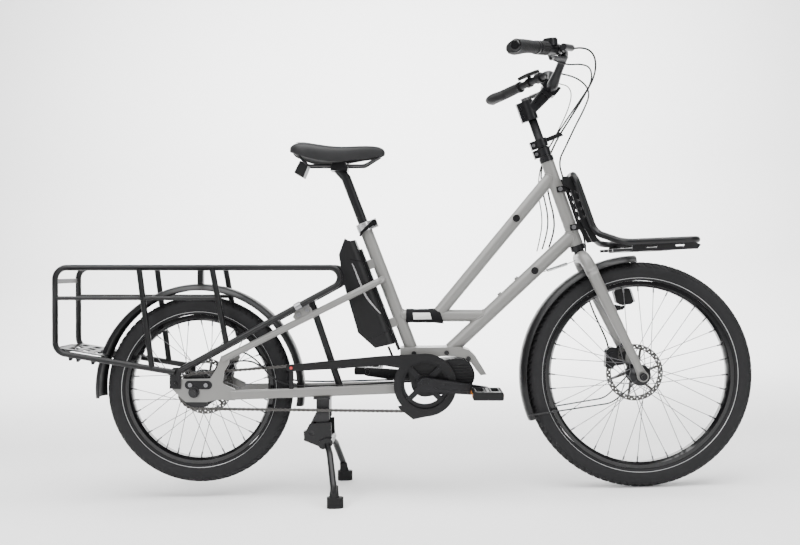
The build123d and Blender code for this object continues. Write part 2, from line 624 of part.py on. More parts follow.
rail_outline = [seat_point(52, 29), seat_point(52, 37), seat_point(352, 37), seat_point(352, 29)]
RAIL_HALF = 16.0
battery_rail = side_plate(rail_outline, (-RAIL_HALF, RAIL_HALF))
rail_posts = []
for down in (88.0, 262.0):
    post = [seat_point(down, 10), seat_point(down, 29), seat_point(down + 26, 29),
            seat_point(down + 26, 10)]
    rail_posts.append(biggest(side_plate(post, (-13, 13)) - seat_core))
parts["battery_rail"] = battery_rail - bracket_solid
parts["battery_rail_posts"] = group(rail_posts)

battery_outline = [
    (409, 421), (418, 415), (428, 415), (449, 421), (461, 389), (552.5, 137), (546, 131), (493, 119),
    (446, 161), (423, 240), (405, 302), (393, 376),
]
BATTERY_HALF = 43.0
section = Plane(origin=flat(seat_point(0, 88)), x_dir=(0, 1, 0), z_dir=(seat_dir[0], 0, seat_dir[1]))
prism = extrude(section.offset(-30) * RectangleRounded(2 * BATTERY_HALF, 112, 26), amount=450)
battery = side_plate(battery_outline, (-BATTERY_HALF, BATTERY_HALF)) & prism
keep_off = [seat_point(-40, 37.3), seat_point(460, 37.3), seat_point(460, -40), seat_point(-40, -40)]
battery = biggest(battery - side_plate(keep_off, (-60, 60)))
parts["battery"] = battery
lead = bent([(528, 0, 120), (536, 0, 100), (546, 6, 78), (560, 14, 64)], [14, 22], 3.5)
parts["battery_lead"] = biggest(lead - battery - bracket_solid)


# ---- rear rack and mudguard --------------------------------------------

RACK_WALL = 1.2
RACK_REAR_X = -380.0
RACK_FRONT_X = 478.0
RACK_REAR_LOW_Z = 109.0
RACK_PLATE_TOP = (-50.0, 55.0)
RACK_DIAGONAL_LOW = (-38.0, 60.0)


def rack_side_rail():
    """Right side loop of the rear rack: bottom rail, rear post, top rail and diagonal."""
    y = -RACK_HALF
    loop = rail([(RACK_PLATE_TOP[0], y, RACK_PLATE_TOP[1]), (RACK_REAR_X, y, RACK_REAR_LOW_Z),
                 (RACK_REAR_X, y, RACK_TOP_Z), (RACK_FRONT_X, y, RACK_TOP_Z),
                 (RACK_DIAGONAL_LOW[0], y, RACK_DIAGONAL_LOW[1])],
                [32.0, 32.0, 27.0], RACK_TUBE_R, RACK_WALL)
    return loop


def line_z(x, low, high):
    """Height of the straight line through two (x, z) points at x."""
    return low[1] + (high[1] - low[1]) * (x - low[0]) / (high[0] - low[0])


rack_plate = side_plate([(-66, 10), (-66, 56), (-56, 68), (-34, 68), (-36, 10)], (-79.0, -74.5))
rack_bolt = socket_screw((-51, -79.0, 22), (0, -1, 0), 6.5, 4.0, 0, 0)
rail_solids = [piece - rack_plate for piece in rack_side_rail()]
top_rail_core = rod((RACK_REAR_X, -RACK_HALF, RACK_TOP_Z), (400, -RACK_HALF, RACK_TOP_Z), RACK_TUBE_R)
rear_post_core = rod((RACK_REAR_X, -RACK_HALF, 80), (RACK_REAR_X, -RACK_HALF, 400), RACK_TUBE_R)
bottom_core = rod((RACK_REAR_X, -RACK_HALF, RACK_REAR_LOW_Z),
                  (RACK_PLATE_TOP[0], -RACK_HALF, RACK_PLATE_TOP[1]), RACK_TUBE_R)
diagonal_core = rod((RACK_FRONT_X, -RACK_HALF, RACK_TOP_Z),
                    (RACK_DIAGONAL_LOW[0], -RACK_HALF, RACK_DIAGONAL_LOW[1]), RACK_TUBE_R)
bottom_at_post = line_z(-114, (RACK_REAR_X, RACK_REAR_LOW_Z), RACK_PLATE_TOP)
diagonal_at_post = line_z(91, RACK_DIAGONAL_LOW, (RACK_FRONT_X, RACK_TOP_Z))
post_ends = [((-149, RACK_TOP_Z), (-114, bottom_at_post)), ((51, RACK_TOP_Z), (91, diagonal_at_post))]
posts = []
post_cores = []
for high, low in post_ends:
    core = rod(flat(high, -RACK_HALF), flat(low, -RACK_HALF), RACK_TUBE_R)
    post = tube(flat(high, -RACK_HALF), flat(low, -RACK_HALF), RACK_TUBE_R, RACK_WALL)
    posts.append(biggest(post - top_rail_core - bottom_core - diagonal_core))
    post_cores.append(core)
mid_rail = rod((RACK_REAR_X, -RACK_HALF, RACK_MID_Z), (67, -RACK_HALF, RACK_MID_Z), 5.5)
mid_rail = mid_rail - rear_post_core - post_cores[0] - post_cores[1]
hooks = []
for x in (-338, -317, -276):
    z = line_z(x, (RACK_REAR_X, RACK_REAR_LOW_Z), RACK_PLATE_TOP) - RACK_TUBE_R
    hook = side_plate([(x - 6, z + 3), (x - 4, z - 8), (x + 2, z - 8), (x + 10, z + 1)],
                      (-RACK_HALF - 1.5, -RACK_HALF + 1.5))
    hooks.append(biggest(hook - bottom_core))
right_rack = [*rail_solids, *posts, *mid_rail.solids(), rack_plate, rack_bolt, *hooks]
parts["rear_rack_right"] = group(right_rack)
parts["rear_rack_left"] = group([mirrored(solid) for solid in right_rack])

# cross members between the two sides
crossbars = []
CROSSBAR_X = (-300.0, -190.0, 0.0, 150.0, 330.0)
for x in CROSSBAR_X:
    bar = rod((x, -RACK_HALF, RACK_TOP_Z), (x, RACK_HALF, RACK_TOP_Z), 6.0)
    crossbars.append(biggest(bar - top_rail_core - mirrored(top_rail_core)))
front_cross_z = line_z(313, RACK_DIAGONAL_LOW, (RACK_FRONT_X, RACK_TOP_Z))
FRONT_CROSS_R = 7.4
front_cross = rod((313, -RACK_HALF, front_cross_z), (313, RACK_HALF, front_cross_z), FRONT_CROSS_R)
front_cross = biggest(front_cross - diagonal_core - mirrored(diagonal_core))
strap = block((-381.5, -378.5), (-RACK_HALF, RACK_HALF), (296, 309)) - rear_post_core
strap = biggest(strap - mirrored(rear_post_core))
parts["rear_rack_crossbars"] = group(crossbars, front_cross, strap)

# one strut in the middle carries the rack's front down to the chain stays
strut_core = rod((312, 0, front_cross_z - 6), (392.5, 0, 6), 10.0)
strut = strut_core - rod((312, 0, front_cross_z - 6), (392.5, 0, 6), 8.4)
strut = strut - rod((313, -90, front_cross_z), (313, 90, front_cross_z), FRONT_CROSS_R)
strut = strut - rod(flat(STAY_BRIDGE, -90), flat(STAY_BRIDGE, 90), 9.0)
parts["rear_rack_strut"] = biggest(strut)

# two-bolt tabs tie the rack's diagonals to the seat stays
tab_solids = []
for y_sign in (-1, 1):
    tab = side_plate([(270, 205), (276, 221), (300, 233), (318, 233), (327, 212), (318, 200), (290, 186)],
                     sorted((y_sign * 66.5, y_sign * 70.5)))
    stay_bar = rod(STAY_LOW, STAY_CORNER, SEAT_STAY_R)
    diag_bar = diagonal_core
    tab = tab - stay_bar - mirrored(stay_bar) - diag_bar - mirrored(diag_bar)
    tab_solids.append(biggest(tab))
    for x, z in ((286, 212), (310, 226)):
        tab_solids.append(socket_screw((x, y_sign * 70.5, z), (0, y_sign, 0), 6.0, 4.0, 0, 0))
    clamp_ring = Plane(origin=(286, y_sign * RACK_HALF,
                               line_z(286, RACK_DIAGONAL_LOW, (RACK_FRONT_X, RACK_TOP_Z))),
                       z_dir=(RACK_FRONT_X - RACK_DIAGONAL_LOW[0], 0, RACK_TOP_Z - RACK_DIAGONAL_LOW[1]))
    band = clamp_ring * (Circle(RACK_TUBE_R + 2.5) - Circle(RACK_TUBE_R))
    tab_solids.append(extrude(band, amount=9, both=True) - tab_solids[-3])
parts["rack_stay_tabs"] = group(tab_solids)

# perforated tail plate with the rear lamp
plate_low = RACK_REAR_LOW_Z + RACK_TUBE_R + 0.3
tail_outline = [(-372, plate_low + 1), (-246, plate_low - 20), (-246, plate_low - 17.5),
                (-372, plate_low + 3.5)]
tail_plate = side_plate(tail_outline, (-78, 78))
for x in (-345, -310, -275):
    for y in (-42, 0, 42):
        tail_plate -= block((x - 10, x + 10), (y - 14, y + 14), (60, 160), 5.0)
tail_plate = tail_plate - bottom_core - mirrored(bottom_core) - rear_post_core - mirrored(rear_post_core)
for piece in rail_solids[:3]:
    tail_plate = tail_plate - piece - mirrored(piece)
tail_plate -= disc(rear_axle, (-37, 37), 297.0)
parts["tail_plate"] = biggest(tail_plate)
LAMP_Z = (103.0, 121.0)
parts["tail_lamp"] = block((-386, -372), (-38, 38), LAMP_Z, 3.0)
parts["tail_lamp_lens"] = block((-390, -386), (-36, 36), (LAMP_Z[0] + 2, LAMP_Z[1] - 2))


def mudguard(centre, outer_r, half_width, from_deg, to_deg):
    """Rounded mudguard strip round an axle, between two angles above the forward direction."""
    thick = 2.2
    crown = [(outer_r, 0), (outer_r - 2, half_width * 0.55), (outer_r - 7, half_width * 0.85),
             (outer_r - 16, half_width)]
    inside = [(r - thick, y - 0.6) for r, y in crown[1:]]
    right = [(r, -y) for r, y in crown[1:]]
    right_inside = [(r, -y) for r, y in inside]
    outline = right[::-1] + [crown[0]] + crown[1:] + inside[::-1] + [(outer_r - thick, 0)] + right_inside
    face = make_face(Polyline(*[(r, y, 0) for r, y in outline], close=True))
    strip = revolve(face, Axis((0, 0, 0), (0, -1, 0)), to_deg - from_deg)
    return Pos(centre[0], 0, centre[1]) * Rot(0, -from_deg, 0) * strip


REAR_GUARD_R = 295.0
rear_guard = mudguard(rear_axle, REAR_GUARD_R, 33.0, -9, 185)
guard_post = block((-8, 8), (-8, 8), (REAR_GUARD_R - 2, RACK_TOP_Z - 3))
guard_post -= rod((0, -30, RACK_TOP_Z), (0, 30, RACK_TOP_Z), 6.0)
guard_post -= mudguard(rear_axle, REAR_GUARD_R, 33.0, 60, 120)
guard_link = rod((285, 0, 3), (393, 0, 2), 4.0) - rod(flat(STAY_BRIDGE, -20), flat(STAY_BRIDGE, 20), 9.0)
guard_link -= mudguard(rear_axle, REAR_GUARD_R, 33.0, -9, 20)
guard_link -= disc(rear_axle, (-20, 20), REAR_GUARD_R - 2)
guard_link -= strut_core
parts["rear_mudguard"] = group(rear_guard, biggest(guard_post), biggest(guard_link))


# ---- front rack ---------------------------------------------------------

DECK_HALF = 140.0
DECK_TUBE_R = 9.0
DECK_FRONT = (1350.0, 415.0)
DECK_REAR = (1150.0, 407.0)
UPRIGHT_HALF = 50.0
UPRIGHT_AHEAD = 49.0
upright_top = steer(59, UPRIGHT_AHEAD)
upright_low = steer(192, UPRIGHT_AHEAD)
LOW_CORNER = (upright_low[0] + 12.0, upright_low[2] - 34.0)
half_loop = rail([
    (DECK_FRONT[0], 0, DECK_FRONT[1]), (DECK_FRONT[0], -DECK_HALF, DECK_FRONT[1]),
    (DECK_REAR[0], -DECK_HALF, DECK_REAR[1]), (LOW_CORNER[0], -UPRIGHT_HALF, LOW_CORNER[1]),
    (upright_top[0], -UPRIGHT_HALF, upright_top[2]), (upright_top[0], 0, upright_top[2]),
], [38.0, 45.0, 42.0, 30.0], DECK_TUBE_R, 1.4)
parts["front_rack_frame"] = group(half_loop, [mirrored(piece) for piece in half_loop])

deck_slope = (DECK_FRONT[1] - DECK_REAR[1]) / (DECK_FRONT[0] - DECK_REAR[0])


def deck_z(x, below=0.0):
    """Height of the deck tubes' middle at x, less a distance below."""
    return DECK_REAR[1] + (x - DECK_REAR[0]) * deck_slope - below


def trimmed(shape):
    """Shape with the rack's bent tubes cut out of it, as one solid."""
    for piece in half_loop:
        shape = shape - piece - mirrored(piece)
    return biggest(shape)


# a skirt with windows hangs under each side tube and carries the deck bars
SKIRT_THICK = 3.0
skirt = side_plate([(1172, deck_z(1172, 7)), (1336, deck_z(1336, 7)), (1350, deck_z(1350, 14)),
                    (1342, deck_z(1342, 25)), (1172, deck_z(1172, 25))],
                   (-DECK_HALF - SKIRT_THICK / 2, -DECK_HALF + SKIRT_THICK / 2))
for x_span in ((1205, 1238), (1284, 1308)):
    window = [(x_span[0], deck_z(x_span[0], 12)), (x_span[1], deck_z(x_span[1], 12)),
              (x_span[1] - 4, deck_z(x_span[1], 19)), (x_span[0] + 3, deck_z(x_span[0], 19))]
    skirt -= side_plate(window, (-DECK_HALF - 10, -DECK_HALF + 10))
skirt = trimmed(skirt)
deck_bars = [skirt, mirrored(skirt)]
cross_bars = []
BAR_BELOW = 19.0
bar_half = DECK_HALF - SKIRT_THICK / 2
for x in (1192.0, 1262.0, 1330.0):
    cross_bars.append(rod((x, -bar_half, deck_z(x, BAR_BELOW)), (x, bar_half, deck_z(x, BAR_BELOW)), 5.5))
runner_set = []
for y in (-80.0, -28.0, 28.0, 80.0):
    ends = [1134.0, 1192.0, 1262.0, 1330.0]
    for start, end in zip(ends, ends[1:]):
        runner = rod((start, y, deck_z(start, BAR_BELOW)), (end, y, deck_z(end, BAR_BELOW)), 4.0)
        for bar in cross_bars:
            runner = runner - bar
        runner_set.append(trimmed(runner))
parts["front_rack_bars"] = group(deck_bars, cross_bars, runner_set)

# two lugs a side on the head tube carry the uprights through cross rods and spine plates
MOUNT_DROPS = (84.0, 195.5)
EAR_Y = (21.0, 24.0)
spine = []
rods = []
for drop in MOUNT_DROPS:
    rods.append(rod(steer(drop, UPRIGHT_AHEAD, -UPRIGHT_HALF), steer(drop, UPRIGHT_AHEAD, UPRIGHT_HALF),
                    6.0))
    for y_sign in (-1, 1):
        ear = make_face(Polyline(steer(drop - 9, -4), steer(drop + 7, -7), steer(drop + 16, 43),
                                 steer(drop - 2, 45), close=True))
        ear = extrude(ear, amount=EAR_Y[1] - EAR_Y[0], dir=(0, 1, 0))
        ear = Pos(0, EAR_Y[0] if y_sign > 0 else -EAR_Y[1], 0) * ear
        boss = rod(steer(drop, 4, y_sign * 10), steer(drop, 4, y_sign * EAR_Y[0]), 8.0)
        spine.append(biggest(ear - rods[-1]))
        spine.append(biggest(boss - head_core - down_core - top_core))
        spine.append(socket_screw(steer(drop, 4, y_sign * EAR_Y[1]), (0, y_sign, 0), 6.0, 4.5, 0, 0))
plate_face = make_face(Polyline(
    steer(62, 44), steer(54, 17), steer(76, 12), steer(92, 27), steer(196, 26), steer(252, 36),
    steer(254, 54), steer(192, 43), close=True))
for y in (-39.0, 36.0):
    plate = Pos(0, y, 0) * extrude(plate_face, amount=3.0, dir=(0, 1, 0))
    for step in range(6):
        hole = steer(58 + 24 * step, 36)
        if abs(58 + 24 * step - MOUNT_DROPS[0]) > 12:
            plate -= disc((hole[0], hole[2]), (y - 5, y + 8), 4.0)
    for bar in rods:
        plate = plate - bar
    spine.append(trimmed(plate))
for bar in rods:
    spine.append(trimmed(bar))
parts["front_rack_brackets"] = group(spine)


# ---- steering: fork, front mudguard, stem and handlebar -------------------

CUP_R = 20.0
RISER_R = 12.5


def collar(drop_from, drop_to, radius, bore=STEERER_R):
    """Ring on the steering axis between two distances down it."""
    return rod(steer(drop_from), steer(drop_to), radius) - rod(steer(drop_from - 1), steer(drop_to + 1),
                                                               bore)


cup_bore = STEERER_R + RUNNING_GAP
parts["headset_cups"] = group(collar(-14, 0, CUP_R, cup_bore),
                              collar(HEAD_LENGTH, HEAD_LENGTH + 15, CUP_R, cup_bore))

crown = steer(FORK_CROWN_DROP)
CROWN_R = 17.0
LEG_WALL = 2.2
crown_left = (crown[0], FORK_LEG_Y, crown[2])
crown_right = (crown[0], -FORK_LEG_Y, crown[2])
leg_vector = Vector(front_axle[0] - crown[0], 0, front_axle[1] - crown[2])
leg_dir = leg_vector.normalized()


def leg_point(distance, y):
    """Point on a fork leg at a distance below the crown."""
    spot = Vector(crown[0], y, crown[2]) + leg_dir * distance
    return (spot.X, spot.Y, spot.Z)


LEG_START = 42.0
LEG_END = leg_vector.length - 17.0
crown_tube = bent([leg_point(LEG_START, FORK_LEG_Y), crown_left, crown_right,
                   leg_point(LEG_START, -FORK_LEG_Y)],
                  [32.0, 32.0], CROWN_R)
legs = []
for y_sign in (-1, 1):
    y = y_sign * FORK_LEG_Y
    leg = cone(leg_point(LEG_START, y), leg_point(LEG_END, y), CROWN_R, 10.5)
    leg -= cone(leg_point(LEG_START, y), leg_point(LEG_END - 6, y), CROWN_R - LEG_WALL, 10.5 - LEG_WALL)
    legs.append(leg)
    tip = disc(front_axle, sorted((y_sign * FRONT_HUB_HALF, y_sign * (FRONT_HUB_HALF + 8))), 15.0)
    web = side_plate([(leg_point(LEG_END - 12, 0)[0] - 9, leg_point(LEG_END - 12, 0)[2] - 4),
                      (leg_point(LEG_END - 12, 0)[0] + 9, leg_point(LEG_END - 12, 0)[2] + 4),
                      (front_axle[0] + 13, front_axle[1] + 6), (front_axle[0] - 13, front_axle[1] - 6)],
                     sorted((y_sign * FRONT_HUB_HALF, y_sign * (FRONT_HUB_HALF + 8))))
    legs.append((tip + web) - leg - cone(leg_point(LEG_START, y), leg_point(LEG_END, y), CROWN_R, 10.5)
                - disc(front_axle, (-70, 70), AXLE_R))
steerer = rod(steer(-42), steer(FORK_CROWN_DROP - 5), STEERER_R) - rod(steer(-50), steer(240), RISER_R)
steerer = steerer - crown_tube
parts["fork"] = group(crown_tube, legs, biggest(steerer))
front_axle_bar = disc(front_axle, (-66, 66), AXLE_R)
axle_caps = [disc(front_axle, sorted((s * 58.2, s * 64)), 10.5, AXLE_R) for s in (-1, 1)]
parts["front_axle"] = group(front_axle_bar, axle_caps)

FRONT_GUARD_R = 330.0
front_guard = mudguard(front_axle, FRONT_GUARD_R, 34.0, 92, 203)
guard_mount = rod(steer(FORK_CROWN_DROP + 12), steer(640.4 - FRONT_GUARD_R + 2, 4), 7.0)
guard_mount = guard_mount - crown_tube - mudguard(front_axle, FRONT_GUARD_R, 34.0, 92, 203)
wires = []
for y_sign in (-1, 1):
    wire = bent([(917, y_sign * 35.8, -66), (1140, y_sign * 46, -29), (1190, y_sign * 54, 16),
                 (1206, y_sign * 54, 34)], [60, 30], 2.0)
    wires.append(wire - front_guard - disc(front_axle, (-70, 70), 15.0))
parts["front_mudguard"] = group(front_guard, biggest(guard_mount), wires)

# headlamp on a bracket from the left fork leg
LAMP_Y = (74.0, 100.0)
lamp_outline = [(1172, 270), (1178, 279), (1216, 282), (1229, 242), (1222, 236), (1196, 232), (1180, 240)]
lamp = side_plate(lamp_outline, LAMP_Y)
lamp = fillet(lamp.edges().filter_by(Axis.Y), 3.0)
lens = side_plate([(1216.5, 281), (1221.5, 279.5), (1234, 243), (1229.5, 242)],
                  (LAMP_Y[0] + 2, LAMP_Y[1] - 2))
lens = biggest(lens - lamp)
arm = side_plate([(1130, 220), (1130, 234), (1178, 234), (1196, 231), (1208, 232), (1200, 220),
                  (1180, 216)],
                 (LAMP_Y[0] + 4, LAMP_Y[0] + 8))
arm = biggest(arm - lamp)
arm_root = rod((1138, 60, 227), (1138, LAMP_Y[0] + 4, 227), 6.0)
arm_root = arm_root - cone(leg_point(LEG_START, FORK_LEG_Y), leg_point(LEG_END, FORK_LEG_Y), CROWN_R, 10.5)
lamp_bolt = socket_screw((1196, LAMP_Y[0] + 4, 225.5), (0, -1, 0), 5.0, 4.0, 0, 0)
parts["headlamp"] = group(lamp)
parts["headlamp_lens"] = group(lens)
parts["headlamp_bracket"] = group(arm, biggest(arm_root), lamp_bolt)

# front brake caliper straddles the rotor behind the left leg
caliper_gap = (FRONT_ROTOR_Y - 2.2, FRONT_ROTOR_Y + 2.2)


def caliper(outline, y_span, gap):
    """Two-piston brake caliper block with a slot for the rotor."""
    body = side_plate(outline, y_span)
    body = fillet(body.edges().filter_by(Axis.Y), 4.0)
    middle = [sum(p[i] for p in outline) / len(outline) for i in (0, 1)]
    bump = disc(middle, (y_span[0] - 4, y_span[1] + 4), 12.0)
    body += bump
    low = min(p[0] for p in outline) - 60
    high = max(p[0] for p in outline) + 60
    floor = min(p[1] for p in outline) - 60
    return body - block((low, high), gap, (floor, floor + 220))


front_outline = [(1138, 60), (1141, 108), (1156, 118), (1176, 112), (1172, 84), (1160, 54)]
front_caliper = caliper(front_outline, (27.0, 52.0), caliper_gap)
halves = sorted(front_caliper.solids(), key=lambda solid: solid.volume)[-2:]
bridge_piece = disc((1142, 104), caliper_gap, 5.0)
leg_core = cone(leg_point(LEG_START, FORK_LEG_Y), leg_point(LEG_END, FORK_LEG_Y), CROWN_R, 10.5)
adapter = side_plate([(1160, 60), (1168, 110), (1190, 130), (1200, 100), (1196, 66)], (44.0, 50.0))
adapter = adapter - halves[0] - halves[1] - leg_core
parts["front_caliper"] = group([half - leg_core for half in halves], bridge_piece, biggest(adapter))

# riser tube in the steerer, with two split clamp collars under a bolted stem
RISER_TOP = -185.0
riser = tube(steer(RISER_TOP), steer(60), RISER_R, 1.6)


def split_clamp(drop_from, drop_to, bore, radius):
    """Clamp ring on the steering axis with two slotted ears and a bolt behind it."""
    ring = collar(drop_from, drop_to, radius, bore)
    ears = make_face(Polyline(steer(drop_from, -12), steer(drop_from, -30), steer(drop_to, -30),
                              steer(drop_to, -12), close=True))
    body = ring + extrude(ears, amount=9, both=True, dir=(0, 1, 0))
    body -= rod(steer(drop_from - 2), steer(drop_to + 2), bore)
    body -= extrude(make_face(Polyline(steer(drop_from - 2, -5), steer(drop_from - 2, -40),
                                       steer(drop_to + 2, -40), steer(drop_to + 2, -5), close=True)),
                    amount=1, both=True, dir=(0, 1, 0))
    return body


collars = []
for drop_from, drop_to, bore, size in ((-40.0, -17.0, STEERER_R, 18.5), (-66.0, -43.0, RISER_R, 18.5)):
    middle = (drop_from + drop_to) / 2
    bolt = rod(steer(middle, -23, -9), steer(middle, -23, 9), 2.5)
    clamp = split_clamp(drop_from, drop_to, bore, size) - bolt
    heads = [socket_screw(steer(middle, -23, s * 9), (0, s, 0), 4.5, 4.0, 0, 0) for s in (-1, 1)]
    collars += [clamp, bolt, *heads]
spacer = collar(-16.8, -14.2, 17.0, STEERER_R)
guide_arm = make_face(Polyline(steer(-52, 18.6), steer(-64, 18.6), steer(-66, 62), steer(-54, 66),
                               close=True))
guide_arm = extrude(guide_arm, amount=2, both=True, dir=(0, 1, 0))
parts["stem_collars"] = group(riser, collars, spacer, guide_arm)

BAR_CENTRE = (980.0, 840.0)
BAR_R = 11.1
BAR_CENTRE_R = 15.9
stem_foot = (925.0, 778.0)
stem_length = math.dist(stem_foot, BAR_CENTRE)
stem_axis = ((BAR_CENTRE[0] - stem_foot[0]) / stem_length, (BAR_CENTRE[1] - stem_foot[1]) / stem_length)


def stem_point(forward, up, y=0.0):
    """Point forward of the bar's centre along the stem, and square to it."""
    x = BAR_CENTRE[0] + forward * stem_axis[0] - up * stem_axis[1]
    z = BAR_CENTRE[1] + forward * stem_axis[1] + up * stem_axis[0]
    return (x, y, z)


def stem_slab(forward_span, up_span, y_half):
    """Block along the stem."""
    face = make_face(Polyline(stem_point(forward_span[0], up_span[0]),
                              stem_point(forward_span[1], up_span[0]),
                              stem_point(forward_span[1], up_span[1]),
                              stem_point(forward_span[0], up_span[1]),
                              close=True))
    return extrude(face, amount=y_half, both=True, dir=(0, 1, 0))


stem_outline = [(p[0], p[2]) for p in (
    stem_point(-stem_length, -14), stem_point(-8, -19), stem_point(-8, 19), stem_point(-stem_length, 14))]
arm = side_plate(stem_outline, (-17, 17))
arm = fillet(arm.edges().filter_by(Axis.Y, reverse=True), 5.0)
pocket = [(p[0], p[2]) for p in (
    stem_point(18 - stem_length, -7), stem_point(-28, -11), stem_point(-28, 11),
    stem_point(18 - stem_length, 7))]
arm -= side_plate(pocket, (-18, -12))
arm -= side_plate(pocket, (12, 18))
stem_clamp = split_clamp(-179.0, -124.0, RISER_R, 17.5)
bar_clamp = stem_slab((-16, 12), (-23, 23), 20.0)
bar_clamp = fillet(bar_clamp.edges().filter_by(Axis.Y), 6.0)
stem_body = arm + stem_clamp + bar_clamp
stem_body -= rod(steer(-190), steer(-110), RISER_R)
stem_body -= disc(BAR_CENTRE, (-30, 30), BAR_CENTRE_R)
stem_body -= stem_slab((2, 3.5), (-30, 30), 30.0)
stem_rear = make_face(Polyline(steer(-190, -13), steer(-190, -40), steer(-110, -40), steer(-110, -13),
                               close=True))
stem_body -= extrude(stem_rear, amount=1, both=True, dir=(0, 1, 0))
stem_screws = []
for up in (-19.2, 19.2):
    for y in (-13.0, 13.0):
        stem_screws.append(socket_screw(stem_point(12, up, y), (stem_axis[0], 0, stem_axis[1]), 3.6, 3.0,
                                        0, 0))
for drop in (-140.0, -163.0):
    stem_screws.append(socket_screw(steer(drop, -23, -9), (0, -1, 0), 4.5, 4.0, 0, 0))
stem_cap = rod(steer(-188), steer(RISER_TOP), 12.5)
parts["stem"] = group(stem_body, stem_screws, stem_cap)

# handlebar: a clamped centre, two rises and swept-back ends
GRIP_END = (846.0, -340.0, 872.0)
BAR_BEND = (1003.0, -125.0, 913.0)
BAR_INNER = (BAR_CENTRE[0], -36.0, BAR_CENTRE[1])
bar_points = [GRIP_END, BAR_BEND, BAR_INNER, (BAR_INNER[0], -BAR_INNER[1], BAR_INNER[2]),
              (BAR_BEND[0], -BAR_BEND[1], BAR_BEND[2]), (GRIP_END[0], -GRIP_END[1], GRIP_END[2])]
bar = bent(bar_points, [50.0, 40.0, 40.0, 50.0], BAR_R, 2.0)
bar_sleeve = disc(BAR_CENTRE, (-21.2, 21.2), BAR_CENTRE_R, BAR_R)
parts["handlebar"] = group(bar, bar_sleeve)

bar_in = (Vector(*BAR_BEND) - Vector(*GRIP_END)).normalized()
bar_ahead = Vector(bar_in.Y, -bar_in.X, 0).normalized()
bar_up = bar_ahead.cross(bar_in).normalized()


def on_bar(distance, ahead=0.0, up=0.0):
    """Point on the right grip's line, inboard of its end, ahead of it and above it."""
    spot = Vector(*GRIP_END) + bar_in * distance + bar_ahead * ahead + bar_up * up
    return (spot.X, spot.Y, spot.Z)


def bar_ring(start, end, radius):
    """Ring round the bar between two distances from its end."""
    return rod(on_bar(start), on_bar(end), radius) - rod(on_bar(start - 1), on_bar(end + 1), BAR_R)


def bar_plane(distance, ahead=0.0, up=0.0):
    """Level working plane on the bar: x inboard, y rearward, z up."""
    return Plane(origin=on_bar(distance, ahead, up), x_dir=bar_in, z_dir=bar_up)


def grip(length):
    """Ergonomic rubber grip with a palm wing and a locking ring."""
    body = bar_ring(2, length - 10, 16.0)
    wing = make_face(Polyline((3, 0), (3, 30), (10, 38), (36, 40), (62, 30), (length - 24, 8),
                              (length - 24, 0), close=True))
    wing = extrude(bar_plane(0, 0, 2) * wing, amount=6.0, both=True)
    wing = fillet(wing.edges().filter_by(Plane(origin=(0, 0, 0), z_dir=bar_up), reverse=True), 4.0)
    body += wing
    body -= rod(on_bar(-2), on_bar(length), BAR_R)
    ring = bar_ring(length - 9, length, 16.5)
    cap = rod(on_bar(-3), on_bar(0), 14.0) + rod(on_bar(0), on_bar(1.7), 14.0)
    cap -= rod(on_bar(0), on_bar(3), BAR_R)
    return [biggest(body), ring, cap]


RIGHT_GRIP = 105.0
LEFT_GRIP = 135.0
right_grip = grip(RIGHT_GRIP)
left_grip = [mirrored(piece) for piece in grip(LEFT_GRIP)]
parts["grips"] = group(right_grip, left_grip)

# twist shifter: a turning ring against a fixed housing with a round window on top
TWIST_SPAN = (107.0, 150.0)
twist = rod(on_bar(TWIST_SPAN[0]), on_bar(TWIST_SPAN[1]), 17.5)
twist -= rod(on_bar(TWIST_SPAN[0] - 1), on_bar(TWIST_SPAN[1] + 1), BAR_R + RUNNING_GAP)
for step in range(12):
    angle = 2 * math.pi * step / 12
    ahead = 18.4 * math.cos(angle)
    up = 18.4 * math.sin(angle)
    twist -= rod(on_bar(TWIST_SPAN[0] + 5, ahead, up), on_bar(TWIST_SPAN[1] - 5, ahead, up), 2.2)
parts["twist_shifter"] = twist
housing = rod(on_bar(151), on_bar(188), 16.5)
dome_plane = Plane(origin=on_bar(170, 4, 6), z_dir=bar_up)
housing += dome_plane * Cylinder(19.5, 16, align=(Align.CENTER, Align.CENTER, Align.MIN))
housing += rod(on_bar(172, -2, -10), on_bar(190, -6, -23), 6.0)
housing -= rod(on_bar(148), on_bar(190), BAR_R)
housing = biggest(housing)
window = Plane(origin=on_bar(170, 4, 22), z_dir=bar_up) * Cylinder(17.0, 3.0,
                                                                   align=(Align.CENTER, Align.CENTER,
                                                                                   Align.MIN))
parts["shifter_housing"] = group(housing)
parts["shifter_window"] = group(window)

# brake levers: clamp ring, master cylinder and a blade pivoted between two cheeks
LEVER_PIVOT_OUT = 28.0
lever_lean = math.radians(41.0)
lever_out = bar_ahead * math.cos(lever_lean) - bar_up * math.sin(lever_lean)
lever_pin_axis = bar_in.cross(lever_out)


def lever_point(distance, out, side=0.0):
    """Point in the lever's own plane: along the bar, out from it, and along the pivot pin."""
    spot = Vector(*GRIP_END) + bar_in * distance + lever_out * out + lever_pin_axis * side
    return (spot.X, spot.Y, spot.Z)


def lever_slab(outline, half):
    """Plate in the lever's plane from (distance, out) corners."""
    face = make_face(Polyline(*[lever_point(*corner) for corner in outline], close=True))
    return extrude(face, amount=half, both=True, dir=tuple(lever_pin_axis))


